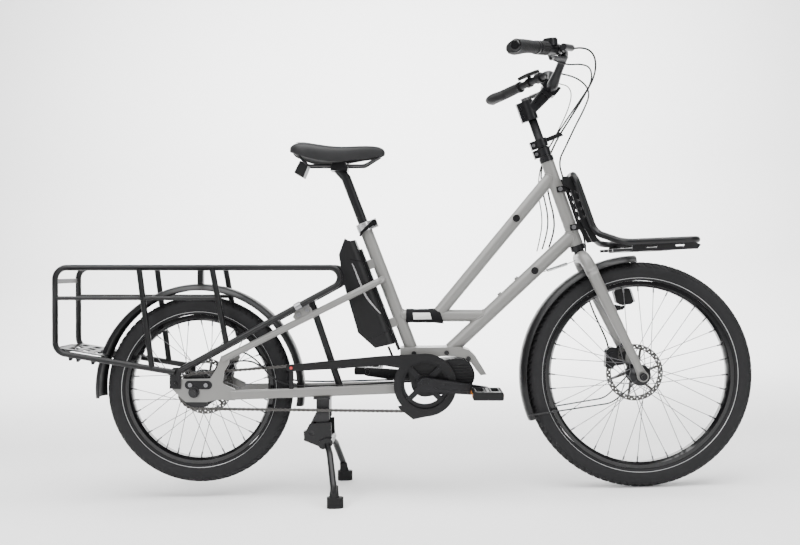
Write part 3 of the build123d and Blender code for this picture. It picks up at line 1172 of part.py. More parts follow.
def brake_lever(shift):
    """Right brake lever moved inboard by shift: fixed body pieces, then the blade."""
    pivot = 207.0 + shift
    ring = bar_ring(194 + shift, 212 + shift, 15.5)
    pin = rod(lever_point(pivot, LEVER_PIVOT_OUT, -9.5), lever_point(pivot, LEVER_PIVOT_OUT, 9.5), 3.0)
    cheeks = []
    for side in (-1, 1):
        cheek = lever_slab([(pivot - 8, 12), (pivot + 8, 12), (pivot + 8, 34), (pivot - 8, 34)], 1.5)
        offset = lever_pin_axis * (side * 6.2)
        cheek = Pos(offset.X, offset.Y, offset.Z) * cheek
        cheeks.append(biggest(cheek - rod(on_bar(150), on_bar(260), 15.5) - pin))
    cylinder = rod(on_bar(181 + shift, 34), on_bar(236 + shift, 30), 9.0)
    boot = cone(on_bar(236 + shift, 30), on_bar(252 + shift, 29), 6.5, 3.8) - cylinder
    neck = rod(on_bar(203 + shift, 12), on_bar(203 + shift, 30), 6.5)
    neck = biggest(neck - rod(on_bar(150), on_bar(260), 15.5) - cylinder)
    for cheek_index in (0, 1):
        cheeks[cheek_index] = biggest(cheeks[cheek_index] - cylinder - neck)
    blade = lever_slab([
        (pivot + 6, 24), (pivot + 6, 33), (pivot - 7, 46), (pivot - 24, 53), (pivot - 58, 51),
        (pivot - 86, 49), (pivot - 104, 53), (pivot - 108, 50), (pivot - 105, 45), (pivot - 86, 40),
        (pivot - 58, 41), (pivot - 26, 42), (pivot - 14, 36), (pivot - 6, 24)], 4.0)
    blade = fillet(blade.edges().filter_by(lambda edge: edge.length < 8.2 and abs(edge.length - 8) < 0.01),
                   1.5)
    blade -= rod(lever_point(pivot, LEVER_PIVOT_OUT, -20), lever_point(pivot, LEVER_PIVOT_OUT, 20),
                 3.0 + RUNNING_GAP)
    return [ring, cylinder, boot, neck, pin, *cheeks], blade


LEFT_SHIFT = 12.0
right_fixed, right_blade = brake_lever(0.0)
left_fixed, left_blade = brake_lever(LEFT_SHIFT)
parts["lever_bodies"] = group(right_fixed, [mirrored(piece) for piece in left_fixed])
parts["brake_lever_right"] = right_blade
parts["brake_lever_left"] = mirrored(left_blade)

# small display on the left of the bar
display_plane = Plane(origin=on_bar(170, 2, 25), x_dir=bar_in, z_dir=bar_up * 0.93 - bar_ahead * 0.37)
display_case = display_plane * Box(46, 56, 10)
display_case = fillet(display_case.edges(), 3.0)
display_ring = bar_ring(166, 178, 14.5)
foot = rod(on_bar(172, 2, 10), on_bar(172, 2, 22), 6.0) - rod(on_bar(140), on_bar(230), 14.5)
foot = biggest(foot - display_case)
screen = display_plane.offset(5.0) * extrude(RectangleRounded(38, 46, 3), 1.0)
parts["display"] = group(mirrored(display_case), mirrored(display_ring), mirrored(foot))
parts["display_glass"] = group(mirrored(screen))


# ---- seat ---------------------------------------------------------------

CLAMP_R = 22.5
seat_ring = rod(flat(seat_point(-14)), flat(seat_point(10)), CLAMP_R)
lever_barrel = flat(seat_point(-3, -29.5))
ear = side_plate([seat_point(-14, -12), seat_point(10, -12), seat_point(10, -37), seat_point(-14, -37)],
                 (-11, 11))
seat_ring += ear
seat_ring -= rod(flat(seat_point(-20)), flat(seat_point(0)), SEAT_BORE_R)
seat_ring -= rod(flat(seat_point(0)), flat(seat_point(20)), SEAT_TUBE_R)
seat_ring -= block((lever_barrel[0] - 40, lever_barrel[0] + 40), (-1.2, 1.2), (400, 520)) & side_plate(
    [seat_point(-16, -5), seat_point(12, -5), seat_point(12, -40), seat_point(-16, -40)], (-5, 5))
QUICK_R = 3.0
seat_pin = rod((lever_barrel[0], -16, lever_barrel[2]), (lever_barrel[0], 17, lever_barrel[2]), QUICK_R)
seat_ring -= seat_pin
seat_nut = rod((lever_barrel[0], 11, lever_barrel[2]), (lever_barrel[0], 19, lever_barrel[2]),
               7.5) - seat_pin
parts["seat_clamp"] = group(seat_ring, seat_pin, seat_nut)
cam = rod((lever_barrel[0], -15.8, lever_barrel[2]), (lever_barrel[0], -11.2, lever_barrel[2]), 8.5)
handle = side_plate([(lever_barrel[0] + 2, lever_barrel[2] + 8), (lever_barrel[0] - 6, lever_barrel[2] + 5),
                     (lever_barrel[0] - 38, lever_barrel[2] - 26),
                     (lever_barrel[0] - 42, lever_barrel[2] - 38),
                     (lever_barrel[0] - 36, lever_barrel[2] - 38),
                     (lever_barrel[0] - 28, lever_barrel[2] - 26),
                     (lever_barrel[0] + 4, lever_barrel[2] - 4)], (-27.0, -23.2))
cam += rod((lever_barrel[0], -27, lever_barrel[2]), (lever_barrel[0], -11.2, lever_barrel[2]), 8.0)
lever = cam + handle
lever -= rod((lever_barrel[0], -20, lever_barrel[2]), (lever_barrel[0], 0, lever_barrel[2]),
             QUICK_R + RUNNING_GAP)
parts["seat_clamp_lever"] = biggest(lever)

# the post bends back under the cradle that clamps the saddle's rails
POST_BEND = -150.0
POST_DOWN = 205.0
POST_WALL = 2.2
CRADLE = (392.0, 618.0)
post_route = [(CRADLE[0] - 8, 0, CRADLE[1] + 2), flat(seat_point(POST_BEND)), flat(seat_point(POST_DOWN))]
post_tube = bent(post_route, [34.0], SEAT_POST_R)
post_tube -= rod(flat(seat_point(POST_BEND + 60)), flat(seat_point(POST_DOWN + 1)), SEAT_POST_R - POST_WALL)
cradle = block((CRADLE[0] - 24, CRADLE[0] + 24), (-27, 27), (CRADLE[1] - 8, CRADLE[1] + 4), 4.0)
RAIL_Z = 624.0
RAIL_Y = 22.0
seat_rail_cores = [rod((300, y, RAIL_Z), (480, y, RAIL_Z), 3.5) for y in (-RAIL_Y, RAIL_Y)]
cradle = cradle + block((CRADLE[0] - 20, CRADLE[0] + 20), (-27, 27), (CRADLE[1] + 4, CRADLE[1] + 14), 4.0)
for core in seat_rail_cores:
    cradle -= core
cradle_bolt = socket_screw((CRADLE[0], 0, CRADLE[1] + 14), (0, 0, 1), 5.0, 4.0, 0, 0)
post_tube = post_tube - cradle
parts["seatpost"] = group(biggest(post_tube), cradle, cradle_bolt)

saddle_rails = []
for y_sign in (-1, 1):
    wire = bent([(274, y_sign * 40, 657), (306, y_sign * RAIL_Y, RAIL_Z), (462, y_sign * RAIL_Y, RAIL_Z),
                 (506, y_sign * 10, 650)], [14, 22], 3.5)
    saddle_rails.append(wire)
saddle_box = side_plate([(284, 638), (307, 626), (293, 590), (267, 604)], (-26, 26))
saddle_box = fillet(saddle_box.edges().filter_by(Axis.Y), 3.0)
for wire in saddle_rails:
    saddle_box = saddle_box - wire
parts["saddle_rails"] = group(saddle_rails)
parts["saddle_box"] = biggest(saddle_box)

# padded saddle: wide rear wings narrowing to the nose, with a soft crown
SADDLE_STATIONS = [
    # x, half width, top, edge
    (259, 60.0, 674, 658), (300, 84.0, 686, 643), (350, 80.0, 680, 630), (400, 52.0, 676.5, 632),
    (450, 29.0, 679, 641), (498, 21.0, 678, 646), (517, 14.0, 667, 653),
]
sections = []
for x, half, top, edge in SADDLE_STATIONS:
    lip = half * 0.96
    shoulder = half * 0.55
    outline = Wire([
        Line((x, -half, edge), (x, -lip, edge + 8)),
        Spline((x, -lip, edge + 8), (x, -shoulder, top - 3), (x, 0, top), (x, shoulder, top - 3),
               (x, lip, edge + 8)),
        Line((x, lip, edge + 8), (x, half, edge)),
        Line((x, half, edge), (x, -half, edge)),
    ])
    sections.append(make_face(outline))
saddle = loft(sections)
saddle -= block((322, 468), (-30, 30), (600, 649))
for wire in saddle_rails:
    saddle = saddle - wire
parts["saddle"] = biggest(saddle)


# ---- stand --------------------------------------------------------------

# the floor runs through the stand's feet and touches the front tyre
foot_gap = math.dist(STAND_FOOT, front_axle)
bearing = math.atan2(front_axle[1] - STAND_FOOT[1], front_axle[0] - STAND_FOOT[0])
FLOOR_ANGLE = bearing - math.asin(FRONT_TYRE_R / foot_gap)


def floor_z(x):
    """Height of the floor at x in the bench frame."""
    return STAND_FOOT[1] + (x - STAND_FOOT[0]) * math.tan(FLOOR_ANGLE)


PIVOT_R = 6.0
pivot_pin = disc(STAND_PIVOT, (-38, 38), PIVOT_R)
pivot_pin += disc(STAND_PIVOT, (-41.5, -36), 9.5) + disc(STAND_PIVOT, (36, 41.5), 9.5)
mount_block = block((329, 366), (-34, 34), (-60, -21), 5.0)
cheeks = []
for y_sign in (-1, 1):
    cheek = side_plate([(329, -60), (366, -60), (366, -80), (334, -126), (314, -128), (304, -112),
                        (310, -98)],
                       sorted((y_sign * 30, y_sign * 36)))
    cheeks.append(cheek - pivot_pin)
saddle_plate = block((324, 371), (-58, 58), (-21, -15.2), 3.0) - stay_solid - mirrored(stay_solid)
mount_bolt = rod((347, 0, -15.2), (347, 0, -8), 9.0)
parts["stand_mount"] = group(mount_block, cheeks, biggest(saddle_plate), pivot_pin, mount_bolt)

stand_core = make_hull([Pos(*STAND_PIVOT) * Circle(15).edge(), Pos(354, -141) * Circle(17).edge()])
stand_core = extrude(Plane.XZ * stand_core, amount=29.6, both=True)
cross_bar = make_hull([Pos(350, -146) * Circle(13).edge(), Pos(364, -141) * Circle(13).edge()])
cross_bar = extrude(Plane.XZ * cross_bar, amount=52, both=True)
stop_lug = side_plate([(291, -118), (306, -112), (308, -138), (293, -142)], (-12, 12))
stand_body = stand_core + cross_bar + stop_lug
for y_span in ((-45.0, -42.0), (42.0, 45.0)):
    stand_body += side_plate([(312, -90), (372, -86), (374, -130), (349, -157), (296, -136), (298, -118)],
                             y_span)
stand_body -= disc(STAND_PIVOT, (-60, 60), PIVOT_R + RUNNING_GAP)
stand_body -= block((346, 362), (-20, 20), (-175, -138))
LEG_R = 9.0
leg_points = [(360, -40, -143), (372, -78, -166), (390, -STAND_FOOT_Y, -246), (392, -STAND_FOOT_Y, -286)]
stand_leg = bent(leg_points, [34.0, 34.0], LEG_R, 1.6)
leg_core = bent(leg_points, [34.0, 34.0], LEG_R)
foot = make_hull([Pos(384, -STAND_FOOT_Y) * Circle(12.5).edge(),
                  Pos(403, -STAND_FOOT_Y) * Circle(12.5).edge()])
foot = Pos(0, 0, -300) * extrude(foot, amount=36)
under_floor = side_plate([(300, floor_z(300)), (500, floor_z(500)), (500, -420), (300, -420)], (-220, 220))
foot = foot - under_floor - leg_core
stand_leg = stand_leg - under_floor - stand_body
parts["stand"] = group(stand_body, biggest(stand_leg), biggest(mirrored(stand_leg)), biggest(foot),
                       mirrored(biggest(foot)))


# ---- rear caliper, hoses and steering damper ------------------------------

rear_gap = (REAR_ROTOR_Y - 2.2, REAR_ROTOR_Y + 2.2)
rear_outline = [(42, 44), (50, 74), (82, 72), (90, 50), (72, 30)]
rear_block = caliper(rear_outline, (40.0, 62.0), rear_gap)
rear_halves = sorted(rear_block.solids(), key=lambda solid: solid.volume)[-2:]
rear_pin = disc((80, 66), rear_gap, 5.0)
mount_foot = side_plate([(46, 34), (46, 62), (74, 66), (76, 40)], (62.0, DROPOUT_Y[0]))
mount_foot = biggest(mount_foot - rear_halves[0] - rear_halves[1])
parts["rear_caliper"] = group(rear_halves, rear_pin, mount_foot)

HOSE_R = 2.5


def hose(name, points, radius=HOSE_R):
    """Flexible line along its real route: straight runs with an arc at every corner."""
    corners = [Vector(*p) for p in points]
    radii = []
    for before, corner, after in zip(corners, corners[1:], corners[2:]):
        came = corner - before
        goes = after - corner
        turn = math.radians(came.get_angle(goes))
        radii.append(0.45 * min(came.length, goes.length) / math.tan(turn / 2))
    print(name, "bend radii", [round(value) for value in radii])
    return bent(points, radii, radius)


# rear brake hose and gear cable cross from the bar to the frame beside the head tube
rear_brake_crossing = hose("rear brake hose", [
    (1018.6, -154.4, 911.0), (1052, -130, 921), (1086, -94, 904), (1091, -62, 860), (1064, -30, 806),
    (1032, 2, 752), (1002, 24, 702), (979, 31, 650), (971, 28, 596), (979, 27, 540), (994, 27, 486),
    (994, 25, 438), (978, 17, 397)])
gear_crossing = hose("gear cable", [
    (954, -182.5, 877.5), (976, -158, 874), (1008, -136, 872), (1042, -114, 880), (1074, -90, 876),
    (1082, -62, 842), (1056, -34, 800), (1024, -6, 752), (994, 18, 704), (966, 27, 654), (955, 25, 600),
    (963, 22, 545),
    (976, 21.5, 490), (975, 20, 440), (959, 15, 392)], 2.2)
display_lead = hose("display lead", [
    (966, 231, 921), (1006, 205, 905), (1034, 166, 886), (1050, 126, 872), (1054, 86, 840), (1040, 56, 796),
    (1018, 42, 748), (992, 36, 700), (962, 33, 642), (950, 30, 592), (950, 26, 540), (960, 25, 490),
    (958, 20, 440), (944, 13, 386)], 1.6)
parts["control_hoses"] = group(rear_brake_crossing - down_core, gear_crossing - down_core - housing,
                               display_lead - down_core)

leg_front = Vector(-leg_dir.Z, 0, leg_dir.X)


def beside_leg(distance, ahead, y):
    """Point beside the left fork leg."""
    spot = Vector(crown[0], y, crown[2]) + leg_dir * distance + leg_front * ahead
    return (spot.X, spot.Y, spot.Z)


front_hose = hose("front brake hose", [
    (1025.6, 144.8, 912.8), (1060, 122, 902), (1094, 96, 872), (1103, 72, 836), (1080, 46, 786),
    (1052, 30, 736), (1028, 29, 684), steer(8, 34, 30), steer(66, 31, 29), steer(124, 33, 28.5),
    steer(182, 32, 30), steer(236, 24, 34), steer(276, 28, 58), beside_leg(40, 6, 77),
    beside_leg(92, -14, 76), beside_leg(146, -24, 68), beside_leg(198, -27, 60), (1148, 50, 132),
    (1150, 44, 112)])
parts["front_brake_hose"] = front_hose - front_caliper

gear_line = hose("rear gear cable", [
    (594, -22, 24), (540, -29, 23), (484, -36, 20), (424, -41, 17.5), (366, -43.5, 15.5), (306, -46, 14.5),
    (252, -50, 16), (208, -60, 40), (174, -64, 84), (134, -57, 110), (96, -55, 108), (66, -58, 84),
    (52, -61, 56)], 2.2)
brake_line = hose("rear brake line", [
    (594, 22, 24), (540, 29, 23), (484, 36, 20), (424, 41, 17.5), (366, 44.5, 15.5), (306, 49, 14.5),
    (252, 55, 17), (206, 60, 26), (166, 61, 50), (126, 60, 76), (84, 55, 70)])
parts["frame_hoses"] = group(gear_line - unit - stay_solid,
                             brake_line - unit - mirrored(stay_solid) - rear_block)

damper_low = (962.0, 0.0, 329.0)
damper_high = (1040.0, 0.0, 356.0)
damper = rod(damper_low, damper_high, 4.5)
damper_ends = [disc((damper_low[0], damper_low[2]), (-3, 3), 8.0),
               disc((damper_high[0], damper_high[2]), (-3, 3), 8.0)]
damper_link = rod(damper_high, crown, 5.0) - crown_tube
parts["steering_damper"] = damper + damper_ends[0] + damper_ends[1] + biggest(damper_link) - down_core


# ---- nodes --------------------------------------------------------------

# pieces welded, bolted or pressed together stay separate solids of one node
NODES = {
    "head_and_top_tube": ["head_tube", "top_tube"],
    "down_and_cross_tube": ["down_tube", "cross_tube", "motor_bracket", "bottle_bosses"],
    "seat_tube": ["seat_tube", "battery_rail_posts"],
    "seat_stays": ["seat_stay_right", "seat_stay_left"],
    "chain_stays": ["chain_stay_right", "chain_stay_left", "chain_stay_bridge"],
    "dropouts": ["dropout_right", "dropout_left", "rack_stay_tabs"],
    "frame_fasteners": ["rear_axle", "frame_plugs", "bracket_bolts"],
    "drive_unit": ["drive_unit", "drive_unit_cover"],
    "chain_guard": ["chain_guard", "chain_guard_tab"],
    "battery_rail": ["battery_rail", "battery_lead"],
    "rear_rack_crossbars": ["rear_rack_crossbars", "rear_rack_strut", "tail_plate"],
    "tail_lamp": ["tail_lamp", "tail_lamp_lens"],
    "front_rack": ["front_rack_frame", "front_rack_bars", "front_rack_brackets"],
    "fork": ["fork", "front_axle"],
    "headlamp": ["headlamp", "headlamp_lens", "headlamp_bracket"],
    "stem": ["stem", "stem_collars"],
    "lever_clamps": ["lever_bodies", "shifter_housing", "shifter_window"],
    "display": ["display", "display_glass"],
    "saddle_rails": ["saddle_rails", "saddle_box"],
    "crankset": ["crankset", "chainring_bolts", "pedal_spindles"],
}
parts["bracket_bolts"] = group(bracket_bolts)
nodes = {}
merged = set()
for name, members in NODES.items():
    nodes[name] = group(*[parts[member] for member in members])
    merged.update(members)
for name, shape in parts.items():
    if name not in merged:
        nodes[name] = shape


# ---- placing: level on the floor, origin under the middle -----------------

level = Rot(0, math.degrees(FLOOR_ANGLE), 0)
level_nodes = {name: level * shape for name, shape in nodes.items()}
boxes = [shape.bounding_box() for shape in level_nodes.values()]
rear_end = min(box.min.X for box in boxes)
front_end = max(box.max.X for box in boxes)
right_end = min(box.min.Y for box in boxes)
left_end = max(box.max.Y for box in boxes)
floor_level = STAND_FOOT[1] * math.cos(FLOOR_ANGLE) - STAND_FOOT[0] * math.sin(FLOOR_ANGLE)
shift = Pos(-(rear_end + front_end) / 2, -(right_end + left_end) / 2, -floor_level)
print("pitch", math.degrees(FLOOR_ANGLE), "moved", -(rear_end + front_end) / 2, -floor_level)

os.makedirs("parts", exist_ok=True)
for name, shape in level_nodes.items():
    export_step(shift * shape, "parts/" + name + ".step")
print(len(nodes), "nodes")
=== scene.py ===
import math

import bpy
import numpy as np
from mathutils import Matrix, Vector


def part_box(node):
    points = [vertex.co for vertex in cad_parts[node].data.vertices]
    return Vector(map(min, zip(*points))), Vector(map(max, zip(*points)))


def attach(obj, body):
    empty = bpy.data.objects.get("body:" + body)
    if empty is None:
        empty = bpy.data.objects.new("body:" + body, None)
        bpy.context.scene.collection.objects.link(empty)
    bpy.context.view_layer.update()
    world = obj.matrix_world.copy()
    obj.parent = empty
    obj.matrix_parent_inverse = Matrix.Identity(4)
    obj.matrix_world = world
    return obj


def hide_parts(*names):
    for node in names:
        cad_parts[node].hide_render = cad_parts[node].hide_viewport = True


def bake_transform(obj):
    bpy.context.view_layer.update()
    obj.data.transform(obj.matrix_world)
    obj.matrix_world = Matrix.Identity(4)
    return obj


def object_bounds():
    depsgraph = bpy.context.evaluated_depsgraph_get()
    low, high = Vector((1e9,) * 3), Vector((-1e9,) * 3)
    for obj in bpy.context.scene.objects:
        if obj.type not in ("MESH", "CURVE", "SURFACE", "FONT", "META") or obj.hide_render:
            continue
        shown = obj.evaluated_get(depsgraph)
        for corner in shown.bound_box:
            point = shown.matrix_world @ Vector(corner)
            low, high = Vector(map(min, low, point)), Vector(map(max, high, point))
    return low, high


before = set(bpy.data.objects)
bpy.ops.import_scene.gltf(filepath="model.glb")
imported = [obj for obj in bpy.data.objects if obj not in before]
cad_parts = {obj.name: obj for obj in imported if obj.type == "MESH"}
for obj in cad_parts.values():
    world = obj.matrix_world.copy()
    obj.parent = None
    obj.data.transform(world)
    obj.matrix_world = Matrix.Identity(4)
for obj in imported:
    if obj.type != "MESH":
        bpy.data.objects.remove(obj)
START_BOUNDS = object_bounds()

# Looks of the cargo bicycle. Shapes are laid out in millimetres in the bench frame
# (rear axle at the origin, X forward, Y to the rider's left, Z up) and BENCH carries
# them to the row frame, in metres, where the bicycle is pitched on to its stand.

MM = 0.001
FRONT_AXLE = (1222.3, 44.6)
FRONT_TYRE_R = 311.5
FRONT_BEAD_R = 253.5
REAR_TYRE_R = 261.0
REAR_BEAD_R = 203.0
BB = (630.0, 23.4)
HEAD_TOP = (971.0, 635.0)
HEAD_ANGLE = math.radians(19.45)


def middle(node):
    """Centre of a CAD node's box."""
    low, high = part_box(node)
    return (low + high) / 2


REAR = middle("rear_tyre")
FRONT = middle("front_tyre")
PITCH = math.atan2(FRONT_AXLE[1], FRONT_AXLE[0]) - math.atan2(FRONT.z - REAR.z, FRONT.x - REAR.x)
BENCH = Matrix.Translation(REAR) @ Matrix.Rotation(PITCH, 4, "Y") @ Matrix.Scale(MM, 4)


def at(x, y, z):
    """Row-frame point of a bench point."""
    return BENCH @ Vector((x, y, z))


def steer(drop, ahead=0.0, y=0.0):
    """Bench point down the steering axis from the head tube's top, and ahead of it."""
    x = HEAD_TOP[0] + drop * math.sin(HEAD_ANGLE) + ahead * math.cos(HEAD_ANGLE)
    z = HEAD_TOP[1] - drop * math.cos(HEAD_ANGLE) + ahead * math.sin(HEAD_ANGLE)
    return Vector((x, y, z))


# ---- camera --------------------------------------------------------------

CAMERA_AT = Vector((619.4, -2400.0, 342.2))
CAMERA_YAW = math.radians(1.402064)
CAMERA_PITCH = math.radians(0.367276)
LENS = 38.61

look = Vector((
    -math.sin(CAMERA_YAW) * math.cos(CAMERA_PITCH),
    math.cos(CAMERA_YAW) * math.cos(CAMERA_PITCH),
    -math.sin(CAMERA_PITCH)))
right = Vector((math.cos(CAMERA_YAW), math.sin(CAMERA_YAW), 0))
above = right.cross(look)
turn = Matrix((right, above, -look)).transposed()
camera = bpy.data.objects.new("camera", bpy.data.cameras.new("camera"))
camera.data.lens = LENS
camera.data.sensor_width = 36.0
camera.data.clip_end = 50.0
camera.matrix_world = Matrix.Translation(BENCH @ CAMERA_AT) @ (
    Matrix.Rotation(PITCH, 4, "Y") @ turn.to_4x4())
bpy.context.scene.collection.objects.link(camera)
bpy.context.scene.camera = camera


# ---- materials -----------------------------------------------------------

def surface(name, color, rough, metal=0.0, coat=0.0, coat_rough=0.15, mottle=0.06, mottle_scale=60.0,
            rough_spread=0.08, bump=0.0, bump_scale=900.0, bump_depth=0.0002, sheen=0.0, specular=0.5):
    """A finish whose colour, gloss and relief vary a little over the surface."""
    material = bpy.data.materials.new(name)
    material.use_nodes = True
    nodes = material.node_tree.nodes
    links = material.node_tree.links
    shader = nodes["Principled BSDF"]
    where = nodes.new("ShaderNodeTexCoord")
    cloud = nodes.new("ShaderNodeTexNoise")
    cloud.inputs["Scale"].default_value = mottle_scale
    cloud.inputs["Detail"].default_value = 5.0
    links.new(where.outputs["Object"], cloud.inputs["Vector"])
    tint = nodes.new("ShaderNodeMix")
    tint.data_type = "RGBA"
    tint.inputs["A"].default_value = (*[c * (1 - mottle) for c in color], 1)
    tint.inputs["B"].default_value = (*[min(1, c * (1 + mottle)) for c in color], 1)
    links.new(cloud.outputs["Fac"], tint.inputs["Factor"])
    links.new(tint.outputs["Result"], shader.inputs["Base Color"])
    gloss = nodes.new("ShaderNodeMapRange")
    gloss.inputs["To Min"].default_value = max(0.02, rough - rough_spread)
    gloss.inputs["To Max"].default_value = min(1, rough + rough_spread)
    fine = nodes.new("ShaderNodeTexNoise")
    fine.inputs["Scale"].default_value = mottle_scale * 4
    fine.inputs["Detail"].default_value = 4.0
    links.new(where.outputs["Object"], fine.inputs["Vector"])
    links.new(fine.outputs["Fac"], gloss.inputs["Value"])
    links.new(gloss.outputs["Result"], shader.inputs["Roughness"])
    shader.inputs["Metallic"].default_value = metal
    shader.inputs["Coat Weight"].default_value = coat
    shader.inputs["Coat Roughness"].default_value = coat_rough
    shader.inputs["Specular IOR Level"].default_value = specular
    shader.inputs["Sheen Weight"].default_value = sheen
    if bump:
        grain = nodes.new("ShaderNodeTexNoise")
        grain.inputs["Scale"].default_value = bump_scale
        grain.inputs["Detail"].default_value = 3.0
        links.new(where.outputs["Object"], grain.inputs["Vector"])
        relief = nodes.new("ShaderNodeBump")
        relief.inputs["Strength"].default_value = bump
        relief.inputs["Distance"].default_value = bump_depth
        links.new(grain.outputs["Fac"], relief.inputs["Height"])
        links.new(relief.outputs["Normal"], shader.inputs["Normal"])
    return material


PAINT = surface("frame_paint", (0.165, 0.163, 0.156), 0.38, coat=0.2, coat_rough=0.35, mottle=0.03,
                mottle_scale=25, bump=0.12, bump_scale=1500)
POWDER = surface("black_powder_coat", (0.004, 0.004, 0.0045), 0.34, mottle=0.15, bump=0.3, bump_scale=2200,
                 specular=0.3)
BLACK_ALLOY = surface("black_anodised", (0.007, 0.007, 0.008), 0.3, metal=0.2, mottle=0.1, bump=0.1,
                      specular=0.3)
PLASTIC = surface("black_plastic", (0.005, 0.005, 0.0055), 0.42, mottle=0.12, bump=0.25, bump_scale=3000,
                  specular=0.25)
GUARD = surface("mudguard_plastic", (0.005, 0.005, 0.0055), 0.36, mottle=0.15, bump=0.15, bump_scale=1200,
                specular=0.28)
GLOSS = surface("gloss_black", (0.004, 0.004, 0.0045), 0.12, coat=0.3, coat_rough=0.05, mottle=0.1,
                specular=0.25)
RUBBER = surface("tyre_rubber", (0.012, 0.012, 0.0128), 0.7, mottle=0.18, mottle_scale=90, bump=0.35,
                 bump_scale=2500, specular=0.2)
GRIP = surface("grip_rubber", (0.008, 0.008, 0.0085), 0.6, mottle=0.15, bump=0.8, bump_scale=1400,
               bump_depth=0.0006, specular=0.25)
HOSE = surface("hose_cover", (0.005, 0.005, 0.0055), 0.4, mottle=0.1, specular=0.25)
STEEL = surface("steel", (0.26, 0.26, 0.27), 0.32, metal=1.0, mottle=0.08, mottle_scale=120, bump=0.1)
SPOKE = surface("spoke_steel", (0.13, 0.13, 0.135), 0.3, metal=0.8, mottle=0.05)
ROTOR = surface("rotor_steel", (0.075, 0.073, 0.07), 0.36, metal=0.8, mottle=0.1, mottle_scale=300,
                bump=0.15)
CHAIN = surface("chain_steel", (0.09, 0.087, 0.084), 0.38, metal=0.9, mottle=0.2, mottle_scale=200)
DARK_STEEL = surface("dark_steel", (0.02, 0.02, 0.021), 0.4, metal=0.5, mottle=0.15)
HUB = surface("hub_shell", (0.012, 0.012, 0.013), 0.32, metal=0.4, mottle=0.1, specular=0.3)
STRIPE = surface("reflective_stripe", (0.5, 0.51, 0.51), 0.35, metal=0.5, mottle=0.05)
SILVER = surface("silver_trim", (0.5, 0.5, 0.51), 0.28, metal=0.8, mottle=0.05)
CLOTH = surface("sleeve_cloth", (0.005, 0.005, 0.006), 0.8, mottle=0.3, mottle_scale=500, bump=0.9,
                bump_scale=2600, bump_depth=0.0006, sheen=0.02, specular=0.15)
PATCH = surface("patch_cloth", (0.66, 0.66, 0.65), 0.8, mottle=0.05, bump=0.6, bump_scale=2600, sheen=0.1)
SEAT_COVER = surface("saddle_cover", (0.009, 0.009, 0.0098), 0.5, mottle=0.15, bump=0.6, bump_scale=1600,
                     bump_depth=0.0004, specular=0.28)
SEAT_SHELL = surface("saddle_shell", (0.005, 0.005, 0.0055), 0.5, mottle=0.1, bump=0.2, specular=0.25)
STITCH = surface("saddle_thread", (0.03, 0.03, 0.032), 0.7, mottle=0.1)
RED_LENS = surface("red_lens", (0.45, 0.012, 0.012), 0.12, coat=0.8, coat_rough=0.04, mottle=0.1)
CLEAR_LENS = surface("lamp_lens", (0.72, 0.74, 0.76), 0.08, metal=0.35, coat=1.0, coat_rough=0.03,
                     mottle=0.15, mottle_scale=150)
AMBER = surface("amber_reflector", (0.75, 0.22, 0.015), 0.15, coat=0.7, coat_rough=0.05, mottle=0.1,
                mottle_scale=400)
SCREEN = surface("screen_glass", (0.006, 0.008, 0.01), 0.08, coat=0.8, coat_rough=0.02, mottle=0.05)
FOOT = surface("foot_rubber", (0.008, 0.008, 0.0085), 0.7, mottle=0.2, bump=0.5, bump_scale=1500,
               specular=0.2)


# ---- CAD pieces ----------------------------------------------------------

def dress(node, material, bevel=0.5, others=()):
    """Finish a CAD node: soft edges, and other materials where a test on the bench point says so."""
    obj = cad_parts[node]
    data = obj.data
    data.materials.clear()
    data.materials.append(material)
    if "custom_normal" in data.attributes:
        data.attributes.remove(data.attributes["custom_normal"])
    data.shade_smooth()
    if others:
        back = BENCH.inverted()
        for extra, _ in others:
            data.materials.append(extra)
        for polygon in data.polygons:
            spot = back @ polygon.center
            for index, (_, test) in enumerate(others):
                if test(spot.x, spot.y, spot.z):
                    polygon.material_index = index + 1
    weld = obj.modifiers.new("weld", "WELD")
    weld.merge_threshold = 0.00001
    if bevel:
        edge = obj.modifiers.new("soft_edges", "BEVEL")
        edge.width = bevel * MM
        edge.segments = 2
        edge.limit_method = "ANGLE"
        edge.angle_limit = math.radians(38)
        edge.harden_normals = False
    even = obj.modifiers.new("even_shading", "WEIGHTED_NORMAL")
    even.keep_sharp = True


def ahead_of_steering(x, z):
    """Distance of a bench (x, z) point ahead of the steering axis."""
    return (x - HEAD_TOP[0]) * math.cos(HEAD_ANGLE) + (z - HEAD_TOP[1]) * math.sin(HEAD_ANGLE)


def near(point, radius):
    """Test for a bench (x, z) point within a radius."""
    return lambda x, y, z: math.hypot(x - point[0], z - point[1]) < radius


dress("head_and_top_tube", PAINT, 0.4)
dress("down_and_cross_tube", PAINT, 0.4)
dress("seat_tube", PAINT, 0.4)
dress("seat_stays", PAINT, 0.0)
dress("chain_stays", PAINT, 0.0)
dress("dropouts", PAINT, 0.5, [(STEEL, lambda x, y, z: 180 < z and abs(y) > 70.6 and x > 250)])
dress("frame_fasteners", DARK_STEEL, 0.4, [(GUARD, lambda x, y, z: x > 860)])
dress("dropout_inserts", BLACK_ALLOY, 0.5, [(STEEL, lambda x, y, z: abs(y) > 74.8)])
dress("drive_unit", PLASTIC, 0.8)
dress("chain_guard", PLASTIC, 0.4, [(RED_LENS, lambda x, y, z: x < 270 and y < -61.2)])
dress("battery_rail", PLASTIC, 0.6)
dress("rear_rack_right", POWDER, 0.3)
dress("rear_rack_left", POWDER, 0.3)
dress("rear_rack_crossbars", POWDER, 0.3)
dress("tail_lamp", PLASTIC, 0.8, [(RED_LENS, lambda x, y, z: x < -386.2)])
dress("rear_mudguard", GUARD, 0.3)
dress("front_rack", POWDER, 0.3, [(STEEL, lambda x, y, z: 24.1 < abs(y) < 30 and x < 1060 and z > 430)])
